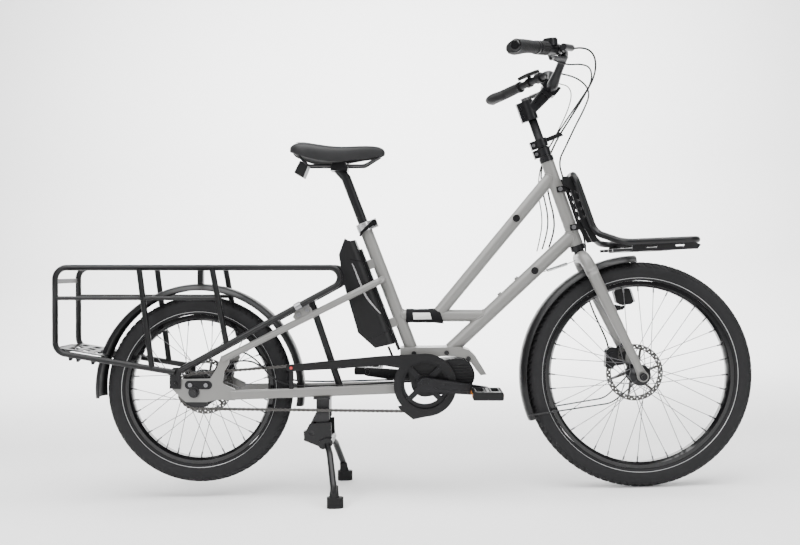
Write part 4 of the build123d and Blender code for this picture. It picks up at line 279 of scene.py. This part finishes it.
dress("headset_cups", BLACK_ALLOY, 0.5)
dress("seat_clamp", SILVER, 0.5)
dress("stand_mount", DARK_STEEL, 0.6)
dress("rear_caliper", BLACK_ALLOY, 0.6)
dress("front_caliper", BLACK_ALLOY, 0.6)
dress("seat_clamp_lever", GLOSS, 0.5)
dress("seatpost", BLACK_ALLOY, 0.4)
dress("saddle_rails", DARK_STEEL, 0.4, [(PLASTIC, lambda x, y, z: x < 310 and z < 639 and abs(y) < 26.1)])
dress("fork", PAINT, 0.4, [
    (BLACK_ALLOY, lambda x, y, z: abs(y) > 58.05 and math.dist((x, z), FRONT_AXLE) < 12),
    (BLACK_ALLOY, lambda x, y, z: z > 450)])
dress("front_mudguard", GUARD, 0.3, [(DARK_STEEL, lambda x, y, z: abs(y) > 35.2)])
dress("headlamp", PLASTIC, 0.8, [
    (CLEAR_LENS, lambda x, y, z: x > 1214 and 75.5 < y < 98.5 and x + 0.25 * z > 1288)])
dress("stem", BLACK_ALLOY, 0.6, [
    (STEEL, lambda x, y, z: z < 720 and abs(y) > 9.6 and ahead_of_steering(x, z) < -18)])
dress("lever_clamps", BLACK_ALLOY, 0.5, [(SCREEN, lambda x, y, z: z > 916.5 and y < -190)])
dress("display", PLASTIC, 0.6)
dress("brake_lever_right", BLACK_ALLOY, 0.6)
dress("brake_lever_left", BLACK_ALLOY, 0.6)
dress("twist_shifter", GRIP, 0.5)
dress("front_rim", GLOSS, 0.3)
dress("rear_rim", GLOSS, 0.3)
dress("front_spokes", SPOKE, 0.0)
dress("rear_spokes", SPOKE, 0.0)
dress("front_hub", HUB, 0.4)
dress("rear_hub", HUB, 0.5)
dress("front_rotor", ROTOR, 0.15, [(BLACK_ALLOY, near(FRONT_AXLE, 27))])
dress("rear_rotor", ROTOR, 0.15, [(BLACK_ALLOY, near((0, 0), 27))])
dress("rear_sprocket", DARK_STEEL, 0.2)
dress("crankset", BLACK_ALLOY, 0.7)
dress("chainring", BLACK_ALLOY, 0.2)
dress("pedal_right", PLASTIC, 0.6)
dress("pedal_left", PLASTIC, 0.6)
dress("battery", PLASTIC, 3.0)
dress("stand", POWDER, 0.8, [(FOOT, lambda x, y, z: z < -263)])


# ---- mesh helpers --------------------------------------------------------

def build(name, points, faces, material, body, slot, smooth_angle=40.0, replaces=(), ride=True):
    """Mesh from bench points and faces, riding on a CAD body."""
    data = bpy.data.meshes.new(name)
    data.from_pydata([tuple(p) for p in points], [], [tuple(int(i) for i in f) for f in faces])
    data.transform(BENCH)
    data.validate()
    materials = material if isinstance(material, (list, tuple)) else [material]
    for item in materials:
        data.materials.append(item)
    data.shade_smooth()
    if smooth_angle:
        data.set_sharp_from_angle(angle=math.radians(smooth_angle))
    obj = bpy.data.objects.new(name, data)
    bpy.context.scene.collection.objects.link(obj)
    if ride:
        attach(obj, body)
    if replaces:
        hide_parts(*replaces)
    return obj


def grid_faces(rows, columns, wrap_rows, wrap_columns):
    """Quads of a grid of points, closed round in either direction."""
    last_row = rows if wrap_rows else rows - 1
    last_column = columns if wrap_columns else columns - 1
    faces = []
    for i in range(last_row):
        a = i * columns
        b = ((i + 1) % rows) * columns
        for j in range(last_column):
            k = (j + 1) % columns
            faces.append((a + j, a + k, b + k, b + j))
    return faces


def loft(name, rings, material, body, slot, caps=True, **more):
    """Skin over closed rings of bench points."""
    rows = len(rings)
    columns = len(rings[0])
    points = [p for ring in rings for p in ring]
    faces = grid_faces(rows, columns, False, True)
    if caps:
        faces.append(tuple(range(columns))[::-1])
        faces.append(tuple(range((rows - 1) * columns, rows * columns)))
    return build(name, points, faces, material, body, slot, **more)


def sweep_rings(path, radii, sides=16):
    """Circles square to a path of bench points."""
    rings = []
    normal = None
    for i, spot in enumerate(path):
        ahead = (path[min(i + 1, len(path) - 1)] - path[max(i - 1, 0)]).normalized()
        if normal is None:
            normal = ahead.orthogonal().normalized()
        normal = (normal - ahead * normal.dot(ahead)).normalized()
        side = ahead.cross(normal)
        radius = radii[i]
        rings.append([spot + (normal * math.cos(t) + side * math.sin(t)) * radius
                      for t in (2 * math.pi * k / sides for k in range(sides))])
    return rings


def route(name, points, radius, material, body, ride=True):
    """Hose or cable as a smooth curve through its bench route."""
    data = bpy.data.curves.new(name, "CURVE")
    data.dimensions = "3D"
    data.bevel_depth = radius * MM
    data.bevel_resolution = 5
    data.resolution_u = 10
    data.use_fill_caps = True
    line = data.splines.new("NURBS")
    line.points.add(len(points) - 1)
    for spot, point in zip(line.points, points):
        spot.co = (*at(*point), 1)
    line.order_u = 3
    line.use_endpoint_u = True
    data.materials.append(material)
    obj = bpy.data.objects.new(name, data)
    bpy.context.scene.collection.objects.link(obj)
    if ride:
        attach(obj, body)
    return obj


def as_mesh(obj):
    """Turn a curve into a mesh."""
    for other in bpy.context.selected_objects:
        other.select_set(False)
    obj.select_set(True)
    bpy.context.view_layer.objects.active = obj
    bpy.ops.object.convert(target="MESH")
    return bpy.context.view_layer.objects.active


# ---- hoses ---------------------------------------------------------------

REAR_BRAKE = [
    (1018.6, -154.4, 911.0), (1052, -130, 921), (1086, -94, 904), (1091, -62, 860), (1064, -30, 806),
    (1032, 2, 752), (1002, 24, 702), (979, 31, 650), (971, 28, 596), (979, 27, 540), (994, 27, 486),
    (994, 25, 438), (978, 17, 397)]
GEAR = [
    (954, -182.5, 877.5), (976, -158, 874), (1008, -136, 872), (1042, -114, 880), (1074, -90, 876),
    (1082, -62, 842), (1056, -34, 800), (1024, -6, 752), (994, 18, 704), (966, 27, 654), (955, 25, 600),
    (963, 22, 545), (976, 21.5, 490), (975, 20, 440), (959, 15, 392)]
DISPLAY_LEAD = [
    (966, 231, 921), (1006, 205, 905), (1034, 166, 886), (1050, 126, 872), (1054, 86, 840), (1040, 56, 796),
    (1018, 42, 748), (992, 36, 700), (962, 33, 642), (950, 30, 592), (950, 26, 540), (960, 25, 490),
    (958, 20, 440), (944, 13, 386)]
CROWN = steer(281)
LEG = (Vector((FRONT_AXLE[0], 0, FRONT_AXLE[1])) - CROWN).normalized()
LEG_FRONT = Vector((-LEG.z, 0, LEG.x))


def beside_leg(distance, ahead, y):
    """Bench point beside the left fork leg."""
    spot = CROWN + LEG * distance + LEG_FRONT * ahead
    return (spot.x, y, spot.z)


FRONT_BRAKE = [
    (1025.6, 144.8, 912.8), (1060, 122, 902), (1094, 96, 872), (1103, 72, 836), (1080, 46, 786),
    (1052, 30, 736), (1028, 29, 684), steer(8, 34, 30), steer(66, 31, 29), steer(124, 33, 28.5),
    steer(182, 32, 30), steer(236, 33, 34), steer(276, 28, 58), beside_leg(40, 6, 77),
    beside_leg(92, -14, 76), beside_leg(146, -24, 68), beside_leg(198, -27, 60), (1148, 50, 132),
    (1150, 44, 112)]
REAR_GEAR = [
    (594, -22, 24), (540, -29, 23), (484, -36, 20), (424, -41, 17.5), (366, -43.5, 15.5), (306, -46, 14.5),
    (252, -50, 16), (208, -60, 40), (174, -64, 84), (134, -57, 110), (96, -55, 108), (66, -58, 84),
    (52, -61, 56)]
REAR_LINE = [
    (594, 22, 24), (540, 29, 23), (484, 36, 20), (424, 41, 17.5), (366, 44.5, 15.5), (306, 49, 14.5),
    (252, 55, 17), (206, 60, 26), (166, 61, 50), (126, 60, 76), (84, 55, 70)]

for name, points, radius in (("rear_brake_crossing", REAR_BRAKE, 2.5), ("gear_crossing", GEAR, 2.2),
                             ("display_lead", DISPLAY_LEAD, 1.6)):
    hose = as_mesh(route(name, points, radius, HOSE, "steering", ride=False))
    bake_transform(hose)
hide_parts("control_hoses")
front_brake = route("front_brake_line", FRONT_BRAKE, 2.5, HOSE, "steering")
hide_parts("front_brake_hose")
rear_gear = route("rear_gear_line", REAR_GEAR, 2.2, HOSE, "frame")
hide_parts("frame_hoses")
route("rear_brake_line", REAR_LINE, 2.5, HOSE, "frame")

# the steering damper is a close coil between two hooks
DAMPER = (Vector((962, 0, 329)), Vector((1040, 0, 356)))
DAMPER_COIL_R = 3.6
DAMPER_WIRE_R = 1.1
COIL_START = 8
COIL_LENGTH = 60
TURNS = 22
STEPS_PER_TURN = 12
damper_axis = (DAMPER[1] - DAMPER[0]).normalized()
damper_side = Vector((0, 1, 0))
damper_up = damper_axis.cross(damper_side)
coil = []
for i in range(TURNS * STEPS_PER_TURN + 1):
    angle = 2 * math.pi * i / STEPS_PER_TURN
    spot = DAMPER[0] + damper_axis * (COIL_START + COIL_LENGTH * i / (TURNS * STEPS_PER_TURN))
    coil.append(spot + (damper_side * math.cos(angle) + damper_up * math.sin(angle)) * DAMPER_COIL_R)
wire = [
    DAMPER[0] - damper_axis * 1, DAMPER[0] + damper_axis * 6, *coil,
    DAMPER[1] - damper_axis * 8, DAMPER[1], CROWN - LEG_FRONT * 12]
rings = sweep_rings(wire, [DAMPER_WIRE_R] * len(wire), 8)
damper = loft("damper_spring", rings, STEEL, "frame", "steel", ride=False)
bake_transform(damper)
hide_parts("steering_damper")


# ---- tyres ---------------------------------------------------------------

SIDE_ANGLES = [
    0, 4, 8.6, 9.4, 11.6, 12.4, 16, 21, 26, 29.6, 30.4, 32.8, 33.6, 38, 44, 50, 55.4, 56.6,
    60, 66, 74, 84, 94, 104, 113, 119, 121, 123, 125, 131, 137, 142]
STRIPE_ANGLES = (121.5, 123.5)
GROOVE = 2.3
SHOULDER_DEPTH = 1.1
STEPS_PER_REPEAT = 10


def tread_depth(turn_share, angle):
    """How deep the tread is cut at a share of one pattern repeat and an angle off the crown."""
    if angle < 9:
        return GROOVE if turn_share < 0.14 else 0.0
    if angle < 12:
        return GROOVE
    if angle < 30:
        return GROOVE if (turn_share + 0.5 + (angle - 12) / 18 * 0.35) % 1 < 0.26 else 0.0
    if angle < 33:
        return GROOVE
    if angle < 56:
        return GROOVE if (turn_share + 0.15 + (angle - 33) / 23 * 0.3) % 1 < 0.3 else 0.0
    return SHOULDER_DEPTH


def make_tyre(name, centre, bead_r, outer_r, repeats, body, node):
    """Tyre with a block tread, plain sidewalls and a thin reflective stripe."""
    ring_r = (bead_r + outer_r) / 2
    section_r = (outer_r - bead_r) / 2
    angles = [-a for a in SIDE_ANGLES[:0:-1]] + SIDE_ANGLES
    steps = repeats * STEPS_PER_REPEAT
    turn = np.arange(steps) * 2 * math.pi / steps
    share = (np.arange(steps) % STEPS_PER_REPEAT) / STEPS_PER_REPEAT
    points = []
    for i in range(steps):
        for angle in angles:
            shift = 0.5 if angle < 0 else 0.0
            depth = tread_depth((share[i] + (shift if abs(angle) > 9 else 0)) % 1, abs(angle))
            r = ring_r + (section_r - depth) * math.cos(math.radians(angle))
            y = (section_r - depth) * math.sin(math.radians(angle))
            points.append((centre[0] + r * math.cos(turn[i]), y, centre[1] + r * math.sin(turn[i])))
    faces = grid_faces(steps, len(angles), True, False)
    obj = build(name, points, faces, [RUBBER, STRIPE], body, "tyre_rubber",
                smooth_angle=28, replaces=[node])
    columns = len(angles) - 1
    index = np.zeros(len(obj.data.polygons), dtype=np.int32)
    for j in range(columns):
        between = abs(angles[j] + angles[j + 1]) / 2
        if STRIPE_ANGLES[0] < between < STRIPE_ANGLES[1]:
            index[j::columns] = 1
    obj.data.polygons.foreach_set("material_index", index)


make_tyre("front_tyre_tread", FRONT_AXLE, FRONT_BEAD_R, FRONT_TYRE_R, 92, "front_wheel", "front_tyre")
make_tyre("rear_tyre_tread", (0, 0), REAR_BEAD_R, REAR_TYRE_R, 77, "rear_wheel", "rear_tyre")


# ---- chain ---------------------------------------------------------------

CHAIN_PITCH = 12.7
CHAIN_Y = -50.0
SPROCKET_TEETH = 24
CHAINRING_TEETH = 38
LINK_END_R = 4.1
PLATE_THICKNESS = 0.7


def pitch_radius(teeth):
    """Pitch circle of a chain wheel."""
    return CHAIN_PITCH / (2 * math.sin(math.pi / teeth))


def chain_path():
    """Function from distance to bench (x, z) round the chain's loop, and the loop's length."""
    small = pitch_radius(SPROCKET_TEETH)
    large = pitch_radius(CHAINRING_TEETH)
    centres = math.hypot(*BB)
    line = math.atan2(BB[1], BB[0])
    flare = math.asin((large - small) / centres)
    run = centres * math.cos(flare)
    up = line + math.pi / 2 + flare
    down = line - math.pi / 2 - flare
    front_arc = large * (math.pi + 2 * flare)
    rear_arc = small * (math.pi - 2 * flare)
    total = 2 * run + front_arc + rear_arc

    def spot(s):
        s %= total
        if s < run:
            t = s / run
            start = (small * math.cos(up), small * math.sin(up))
            end = (BB[0] + large * math.cos(up), BB[1] + large * math.sin(up))
        elif s < run + front_arc:
            angle = up - (s - run) / large
            return (BB[0] + large * math.cos(angle), BB[1] + large * math.sin(angle))
        elif s < 2 * run + front_arc:
            t = (s - run - front_arc) / run
            start = (BB[0] + large * math.cos(down), BB[1] + large * math.sin(down))
            end = (small * math.cos(down), small * math.sin(down))
        else:
            angle = down - (s - 2 * run - front_arc) / small
            return (small * math.cos(angle), small * math.sin(angle))
        return (start[0] + (end[0] - start[0]) * t, start[1] + (end[1] - start[1]) * t)

    return spot, total


def link_outline(length):
    """Figure-of-eight outline of a chain plate along X."""
    outline = []
    for k in range(9):
        angle = math.radians(-120 + 30 * k)
        outline.append((length + LINK_END_R * math.cos(angle), LINK_END_R * math.sin(angle)))
    outline.append((length / 2, 3.0))
    for k in range(9):
        angle = math.radians(60 + 30 * k)
        outline.append((LINK_END_R * math.cos(angle), LINK_END_R * math.sin(angle)))
    outline.append((length / 2, -3.0))
    return outline


def make_chain():
    """Every link, pin and roller round the loop."""
    spot, total = chain_path()
    count = 2 * round(total / CHAIN_PITCH / 2)
    step = total / count
    points = []
    faces = []

    def prism(outline, origin, heading, y0, y1):
        base = len(points)
        n = len(outline)
        c, s = math.cos(heading), math.sin(heading)
        for y in (y0, y1):
            for u, v in outline:
                points.append((origin[0] + u * c - v * s, CHAIN_Y + y, origin[1] + u * s + v * c))
        faces.append(tuple(range(base, base + n)))
        faces.append(tuple(range(base + 2 * n - 1, base + n - 1, -1)))
        for k in range(n):
            m = (k + 1) % n
            faces.append((base + m, base + k, base + n + k, base + n + m))

    for i in range(count):
        here = spot(i * step)
        there = spot((i + 1) * step)
        heading = math.atan2(there[1] - here[1], there[0] - here[0])
        length = math.dist(here, there)
        gap = 2.65 if i % 2 else 3.4
        outline = link_outline(length)
        prism(outline, here, heading, gap, gap + PLATE_THICKNESS)
        prism(outline, here, heading, -gap - PLATE_THICKNESS, -gap)
        pin = [(1.8 * math.cos(t), 1.8 * math.sin(t)) for t in (math.pi * k / 5 for k in range(10))]
        roller = [(3.9 * math.cos(t), 3.9 * math.sin(t)) for t in (math.pi * k / 6 for k in range(12))]
        prism(pin, here, 0.0, -4.1, 4.1)
        prism(roller, here, 0.0, -2.6, 2.6)
    build("chain_links", points, faces, CHAIN, "frame", "steel", smooth_angle=35, replaces=["chain"])


make_chain()


# ---- saddle --------------------------------------------------------------

SADDLE = [
    # x, half width, top, edge
    (257, 42, 670, 660), (261, 60, 677, 656), (278, 76, 686, 649), (302, 84, 686, 641),
    (332, 82, 682, 633), (362, 70, 678, 630), (394, 52, 676.5, 632), (424, 38, 678, 637),
    (455, 29, 680, 641), (484, 24, 680, 645), (504, 19.5, 677, 649), (515, 14, 671, 653),
    (519, 8, 665, 656),
]
SADDLE_SECTION = [
    # share of the half width, share of the height from edge to top
    (0.0, 0.36), (0.45, 0.34), (0.78, 0.24), (0.86, 0.04), (0.92, -0.02), (0.98, 0.05), (1.0, 0.28),
    (0.985, 0.52), (0.93, 0.74), (0.80, 0.90), (0.58, 0.975), (0.34, 1.0), (0.14, 0.985), (0.0, 0.965),
]
section = SADDLE_SECTION + [(-y, z) for y, z in SADDLE_SECTION[-2:0:-1]]
rings = []
for x, half, top, edge in SADDLE:
    rings.append([(x, half * y, edge + (top - edge) * z) for y, z in section])
saddle = loft("saddle_cover", rings, [SEAT_COVER, SEAT_SHELL], "seat", "saddle_cover", smooth_angle=0,
              replaces=["saddle"])
around = len(section)
for polygon in saddle.data.polygons:
    column = polygon.index % around
    underside = column < 3 or column >= around - 3
    if underside and polygon.index < around * (len(SADDLE) - 1):
        polygon.material_index = 1
soft = saddle.modifiers.new("padding", "SUBSURF")
soft.levels = 2
soft.render_levels = 2
for side, tag in ((-1, "right"), (1, "left")):
    seam = []
    for x, half, top, edge in SADDLE[2:-2]:
        seam.append(Vector((x, side * half * 0.83, edge + (top - edge) * 0.895)))
    loft("saddle_seam_" + tag, sweep_rings(seam, [0.8] * len(seam), 8), STITCH, "seat", "saddle_cover")


# ---- grips and handlebar -------------------------------------------------

GRIP_END = Vector((846, -340, 872))
BAR_BEND = Vector((1003, -125, 913))
bar_in = (BAR_BEND - GRIP_END).normalized()
bar_ahead = Vector((bar_in.y, -bar_in.x, 0)).normalized()
bar_up = bar_ahead.cross(bar_in).normalized()


def on_bar(distance, ahead=0.0, up=0.0, side=-1):
    """Bench point on a grip's line. Side is -1 on the right."""
    spot = GRIP_END + bar_in * distance + bar_ahead * ahead + bar_up * up
    return Vector((spot.x, spot.y * -side, spot.z))


def make_grip(name, length, side, **more):
    """Ergonomic grip: a palm wing at the outer end, a slim finger side and ribs."""
    stations = []
    steps = int(length)
    for i in range(steps + 1):
        s = length * i / steps
        share = s / length
        radius = 15.2 + 1.0 * math.sin(math.pi * min(1, share * 1.15))
        wing = 22.0 * max(0.0, math.sin(math.pi * min(1.0, (s + 22) / 95.0))) ** 1.3 if s < 73 else 0.0
        if s < 3:
            radius += 0.6
        if length - 10 < s:
            radius = 16.4
            wing = 0
        rib = 0.0
        if 8 < s < length - 16:
            rib = -0.35 if int(s / 2.4) % 2 else 0.0
        stations.append((s, radius, wing, rib))
    rings = []
    for s, radius, wing, rib in stations:
        ring = []
        for k in range(28):
            angle = 2 * math.pi * k / 28
            rear = max(0.0, math.cos(angle - math.pi - 0.22))
            r = radius + wing * rear ** 4 + (rib if rear < 0.4 else rib * 0.3)
            ring.append(on_bar(s, r * math.cos(angle), r * math.sin(angle) + 0.5, side))
        rings.append(ring)
    if side > 0:
        rings = [ring[::-1] for ring in rings]
    loft(name, rings, GRIP, "steering", "grip_rubber", smooth_angle=35, **more)
    cap = []
    for s, r in ((-2.8, 9.0), (-2.6, 12.5), (-1.2, 14.0), (0.6, 14.2)):
        cap.append([on_bar(s, r * math.cos(t), r * math.sin(t), side) for t in
                    (2 * math.pi * k / 24 for k in range(24))])
    loft(name + "_cap", cap, GLOSS, "steering", "black_plastic")
    lock = []
    for s, r in ((length - 9.5, 16.2), (length - 9, 16.9), (length - 1, 16.9), (length - 0.5, 16.2)):
        lock.append([on_bar(s, r * math.cos(t), r * math.sin(t), side) for t in
                     (2 * math.pi * k / 28 for k in range(28))])
    loft(name + "_lock_ring", lock, BLACK_ALLOY, "steering", "black_metal")


make_grip("grip_right", 105, -1, replaces=["grips"])
make_grip("grip_left", 135, 1)


def rounded_path(corners, radii, step):
    """Bench points along straight runs and arcs."""
    path = [Vector(corners[0])]
    for before, corner, after, bend in zip(corners, corners[1:], corners[2:], radii):
        before, corner, after = Vector(before), Vector(corner), Vector(after)
        came = (corner - before).normalized()
        goes = (after - corner).normalized()
        half = came.angle(goes) / 2
        setback = bend * math.tan(half)
        enter = corner - came * setback
        inward = (goes - came).normalized()
        centre = corner + inward * (bend / math.cos(half))
        spoke = enter - centre
        axis = came.cross(goes).normalized()
        count = max(3, int(bend * 2 * half / step))
        for k in range(count + 1):
            path.append(centre + Matrix.Rotation(2 * half * k / count, 3, axis) @ spoke)
    path.append(Vector(corners[-1]))
    filled = [path[0]]
    for spot in path[1:]:
        gap = (spot - filled[-1]).length
        pieces = max(1, int(gap / step))
        start = filled[-1].copy()
        for k in range(1, pieces + 1):
            filled.append(start.lerp(spot, k / pieces))
    return filled


bar_tip = GRIP_END + bar_in * 2
bar_corners = [
    tuple(bar_tip), tuple(BAR_BEND), (980, -36, 840), (980, 36, 840),
    (BAR_BEND.x, -BAR_BEND.y, BAR_BEND.z), (bar_tip.x, -bar_tip.y, bar_tip.z)]
bar_path = rounded_path(bar_corners, [50, 40, 40, 50], 4.0)
bar_radii = []
for spot in bar_path:
    reach = abs(spot.y)
    swell = min(1.0, max(0.0, (78 - reach) / 50))
    bar_radii.append(11.1 + 4.8 * swell * swell * (3 - 2 * swell))
loft("handlebar_tube", sweep_rings(bar_path, bar_radii, 24), BLACK_ALLOY, "steering", "black_metal",
     replaces=["handlebar"])


# ---- battery trim --------------------------------------------------------

BATTERY_SIDE = 43.0


def battery_strip(name, path, widths, lift, material, slot):
    """Flat strip along a path of bench (x, z) points on both sides of the battery."""
    for side, tag in ((-1, "right"), (1, "left")):
        points = []
        for i, (x, z) in enumerate(path):
            ahead = Vector(path[min(i + 1, len(path) - 1)]) - Vector(path[max(i - 1, 0)])
            across = Vector((-ahead.y, ahead.x)).normalized() * widths[i]
            inner = BATTERY_SIDE - 0.6
            outer = BATTERY_SIDE + lift
            for y, reach in ((inner, 1.0), (outer, 0.85), (outer, -0.85), (inner, -1.0)):
                points.append((x + across.x * reach, side * y, z + across.y * reach))
        faces = grid_faces(len(path), 4, False, False)
        faces += [(0, 1, 2, 3), tuple(range(len(points) - 4, len(points)))]
        build(name + "_" + tag, points, faces, material, "battery_pack", slot)


def smooth_path(points, count=24):
    """Points along a soft curve through a few bench (x, z) points."""
    spots = [points[0], *points, points[-1]]
    path = []
    for i in range(count + 1):
        t = i / count * (len(points) - 1)
        k = min(int(t), len(points) - 2)
        f = t - k
        p0, p1, p2, p3 = (Vector(spots[k + n]) for n in range(4))
        path.append(tuple(0.5 * (2 * p1 + (p2 - p0) * f + (2 * p0 - 5 * p1 + 4 * p2 - p3) * f * f
                                 + (3 * p1 - p0 - 3 * p2 + p3) * f ** 3)))
    return path


stripe = smooth_path([(430, 352), (441, 326), (452, 298), (468, 262), (490, 234), (508, 214)])
battery_strip("battery_stripe", stripe, [1.4 + 1.6 * math.sin(math.pi * i / 24) for i in range(25)], 0.5,
              SILVER, "black_plastic")
battery_strip("battery_seam_high", smooth_path([(424, 364), (440, 360), (472, 357)], 8), [0.7] * 9, 0.15,
              GLOSS, "black_plastic")
battery_strip("battery_seam_low", smooth_path([(468, 140), (494, 150), (528, 166)], 8), [0.7] * 9, 0.15,
              GLOSS, "black_plastic")


# ---- cloth sleeve --------------------------------------------------------

SLEEVE_X = (578.0, 676.0)
SLEEVE_Z = 206.0


def sleeve_radius(share, angle):
    """Radius of the sleeve along its length and round it, with a few soft folds."""
    flare = 19.6 + 0.5 * math.sin(share * 5 + angle * 2) + 6.0 * max(0.0, share - 0.72)
    fold = 0.28 * math.sin(share * 21 + 1.7 * math.sin(angle * 3)) + 0.22 * math.sin(angle * 5 + share * 9)
    return flare + fold


points = []
ROUND = 64
LONG = 60
for i in range(LONG + 1):
    share = i / LONG
    for k in range(ROUND):
        angle = 2 * math.pi * k / ROUND
        x = SLEEVE_X[0] + (SLEEVE_X[1] - SLEEVE_X[0]) * share - 7 * share * math.sin(angle)
        r = sleeve_radius(share, angle)
        points.append((x, r * math.cos(angle), SLEEVE_Z + r * math.sin(angle)))
sleeve = build("cloth_sleeve", points, grid_faces(LONG + 1, ROUND, False, True), CLOTH, "frame", "cloth",
               smooth_angle=0, replaces=["frame_sleeve"])
points = []
for i in range(9):
    share = 0.2 + 0.5 * i / 8
    for k in range(9):
        angle = math.pi + math.radians(-27 + 54 * k / 8)
        x = SLEEVE_X[0] + (SLEEVE_X[1] - SLEEVE_X[0]) * share
        r = sleeve_radius(share, angle) + 0.5
        x -= 7 * share * math.sin(angle)
        points.append((x, r * math.cos(angle), SLEEVE_Z + r * math.sin(angle)))
build("sleeve_patch", points, grid_faces(9, 9, False, False), PATCH, "frame", "cloth", smooth_angle=0)


# ---- welds ---------------------------------------------------------------

def weld_bead(name, start, toward, radius, base_start, base_end, base_radius, size=2.2):
    """Bead where a tube running from start meets the side of a base tube."""
    start, toward = Vector(start), Vector(toward)
    base_start, base_end = Vector(base_start), Vector(base_end)
    along = (toward - start).normalized()
    base = (base_end - base_start).normalized()
    one = along.orthogonal().normalized()
    two = along.cross(one)
    loop = []
    for k in range(72):
        angle = 2 * math.pi * k / 72
        rim = start + (one * math.cos(angle) + two * math.sin(angle)) * radius
        best = None
        for step in range(-60, 161):
            travel = step * 0.5
            spot = rim + along * travel
            off = spot - base_start
            gap = abs((off - base * off.dot(base)).length - base_radius)
            closer = best is None or gap < best[0] - 0.02
            if closer or (gap < min(0.4, best[0] + 0.3) and travel > best[2]):
                best = (gap, spot, travel)
        loop.append(best[1])
    rings = []
    count = len(loop)
    for k in range(count):
        ahead = (loop[(k + 1) % count] - loop[k - 1]).normalized()
        out = (loop[k] - start - along * (loop[k] - start).dot(along)).normalized()
        side = ahead.cross(out).normalized()
        fat = size * (1 + 0.12 * math.sin(k * 2 * math.pi / 3))
        rings.append([loop[k] + (out * math.cos(t) + side * math.sin(t)) * fat for t in
                      (2 * math.pi * j / 8 for j in range(8))])
    points = [p for ring in rings for p in ring]
    build(name, points, grid_faces(count, 8, True, True), PAINT, "frame", "frame_paint", smooth_angle=0)


# each tube is its two ends and its radius
HEAD_TUBE = (steer(0), steer(246), 18.0)
TOP_TUBE = ((984.4, 0, 597), (662.8, 0, 206.5), 17.5)
DOWN_TUBE = ((1042.8, 0, 431.9), (702, 0, 112), 19.0)
SEAT_TUBE = ((463, 0, 452), (592, 0, 116), 17.5)
CROSS_TUBE = ((557, 0, 206.5), (803, 0, 206.5), 16.5)
weld_bead("weld_top_head", *TOP_TUBE, *HEAD_TUBE)
weld_bead("weld_down_head", *DOWN_TUBE, *HEAD_TUBE)
weld_bead("weld_cross_seat", *CROSS_TUBE, *SEAT_TUBE)
weld_bead("weld_cross_down", CROSS_TUBE[1], CROSS_TUBE[0], CROSS_TUBE[2], *DOWN_TUBE)
for side, tag in ((-1, "right"), (1, "left")):
    weld_bead("weld_stay_" + tag, (517, 0, 309), (501, side * 58, 301.5), 9.5, *SEAT_TUBE, size=1.8)


# ---- stand boots and pedal reflectors ------------------------------------

for side, tag in ((-1, "right"), (1, "left")):
    boot = []
    for z, r in ((-237, 9.3), (-238, 10.8), (-250, 11.4), (-262, 13.2), (-266, 13.6), (-266.5, 9.2)):
        lean = (z + 286) / 40
        boot.append([(392 - 2 * lean + r * math.cos(t), side * (149 - 22 * max(0.0, (z + 262) / 40))
                      + r * math.sin(t), z) for t in (2 * math.pi * k / 24 for k in range(24))])
    loft("stand_boot_" + tag, boot, FOOT, "stand", "grip_rubber")


PEDAL_TILT = math.radians(-5.7)
CRANK_LENGTH = 165.0
for sign, tag in ((-1, "right"), (1, "left")):
    middle_x = BB[0] - sign * CRANK_LENGTH * math.cos(PEDAL_TILT)
    middle_z = BB[1] - sign * CRANK_LENGTH * math.sin(PEDAL_TILT)
    for end in (-1, 1):
        points = []
        for x, grow in ((40.05, 0.0), (41.2, 0.0), (41.9, 1.2)):
            for y, z in ((102, -5), (164, -5), (164, 5), (102, 5)):
                points.append((middle_x + end * x, sign * (y + (grow if y < 130 else -grow)),
                               middle_z + z * (1 - grow / 6)))
        faces = grid_faces(3, 4, False, True) + [(8, 9, 10, 11), (3, 2, 1, 0)]
        build("reflector_" + tag + ("_front" if end > 0 else "_rear"), points, faces, AMBER, "pedal_" + tag,
              "black_plastic", smooth_angle=20)


# ---- floor and light -----------------------------------------------------

floor_z = START_BOUNDS[0][2]
points = []
profile = [(-9, 0), (2.5, 0), (3.6, 0.12), (4.6, 0.6), (5.2, 1.5), (5.4, 3.0), (5.4, 7.0)]
for y, z in profile:
    points += [(-12, y, floor_z + z), (12, y, floor_z + z)]
data = bpy.data.meshes.new("floor")
data.from_pydata(points, [], [(2 * i, 2 * i + 1, 2 * i + 3, 2 * i + 2) for i in range(len(profile) - 1)])
data.shade_smooth()
BACKDROP = surface("backdrop", (0.93, 0.93, 0.93), 0.9, mottle=0.01, specular=0.1)
data.materials.append(BACKDROP)
floor = bpy.data.objects.new("floor", data)
bpy.context.scene.collection.objects.link(floor)


def area_light(name, place, target, size, power):
    """Rectangular soft light aimed at a point."""
    light = bpy.data.lights.new(name, "AREA")
    light.shape = "RECTANGLE"
    light.size, light.size_y = size
    light.energy = power
    obj = bpy.data.objects.new(name, light)
    obj.location = place
    obj.rotation_euler = (Vector(target) - Vector(place)).to_track_quat("-Z", "Y").to_euler()
    bpy.context.scene.collection.objects.link(obj)


area_light("overhead", (0.0, -0.5, 3.2), (0, 0.1, 0.2), (4.8, 2.4), 290)
area_light("key", (-2.4, -3.4, 2.6), (0, 0, 0.5), (1.6, 2.2), 120)
area_light("fill", (2.9, -3.2, 1.6), (0, 0, 0.5), (1.2, 2.2), 55)
area_light("backdrop_wash", (0.0, 2.2, 3.0), (0, 5.4, 1.4), (6.0, 0.8), 650)
world = bpy.data.worlds.new("studio")
world.use_nodes = True
world.node_tree.nodes["Background"].inputs["Color"].default_value = (1, 1, 1, 1)
world.node_tree.nodes["Background"].inputs["Strength"].default_value = 0.34
bpy.context.scene.world = world

bpy.context.view_layer.update()
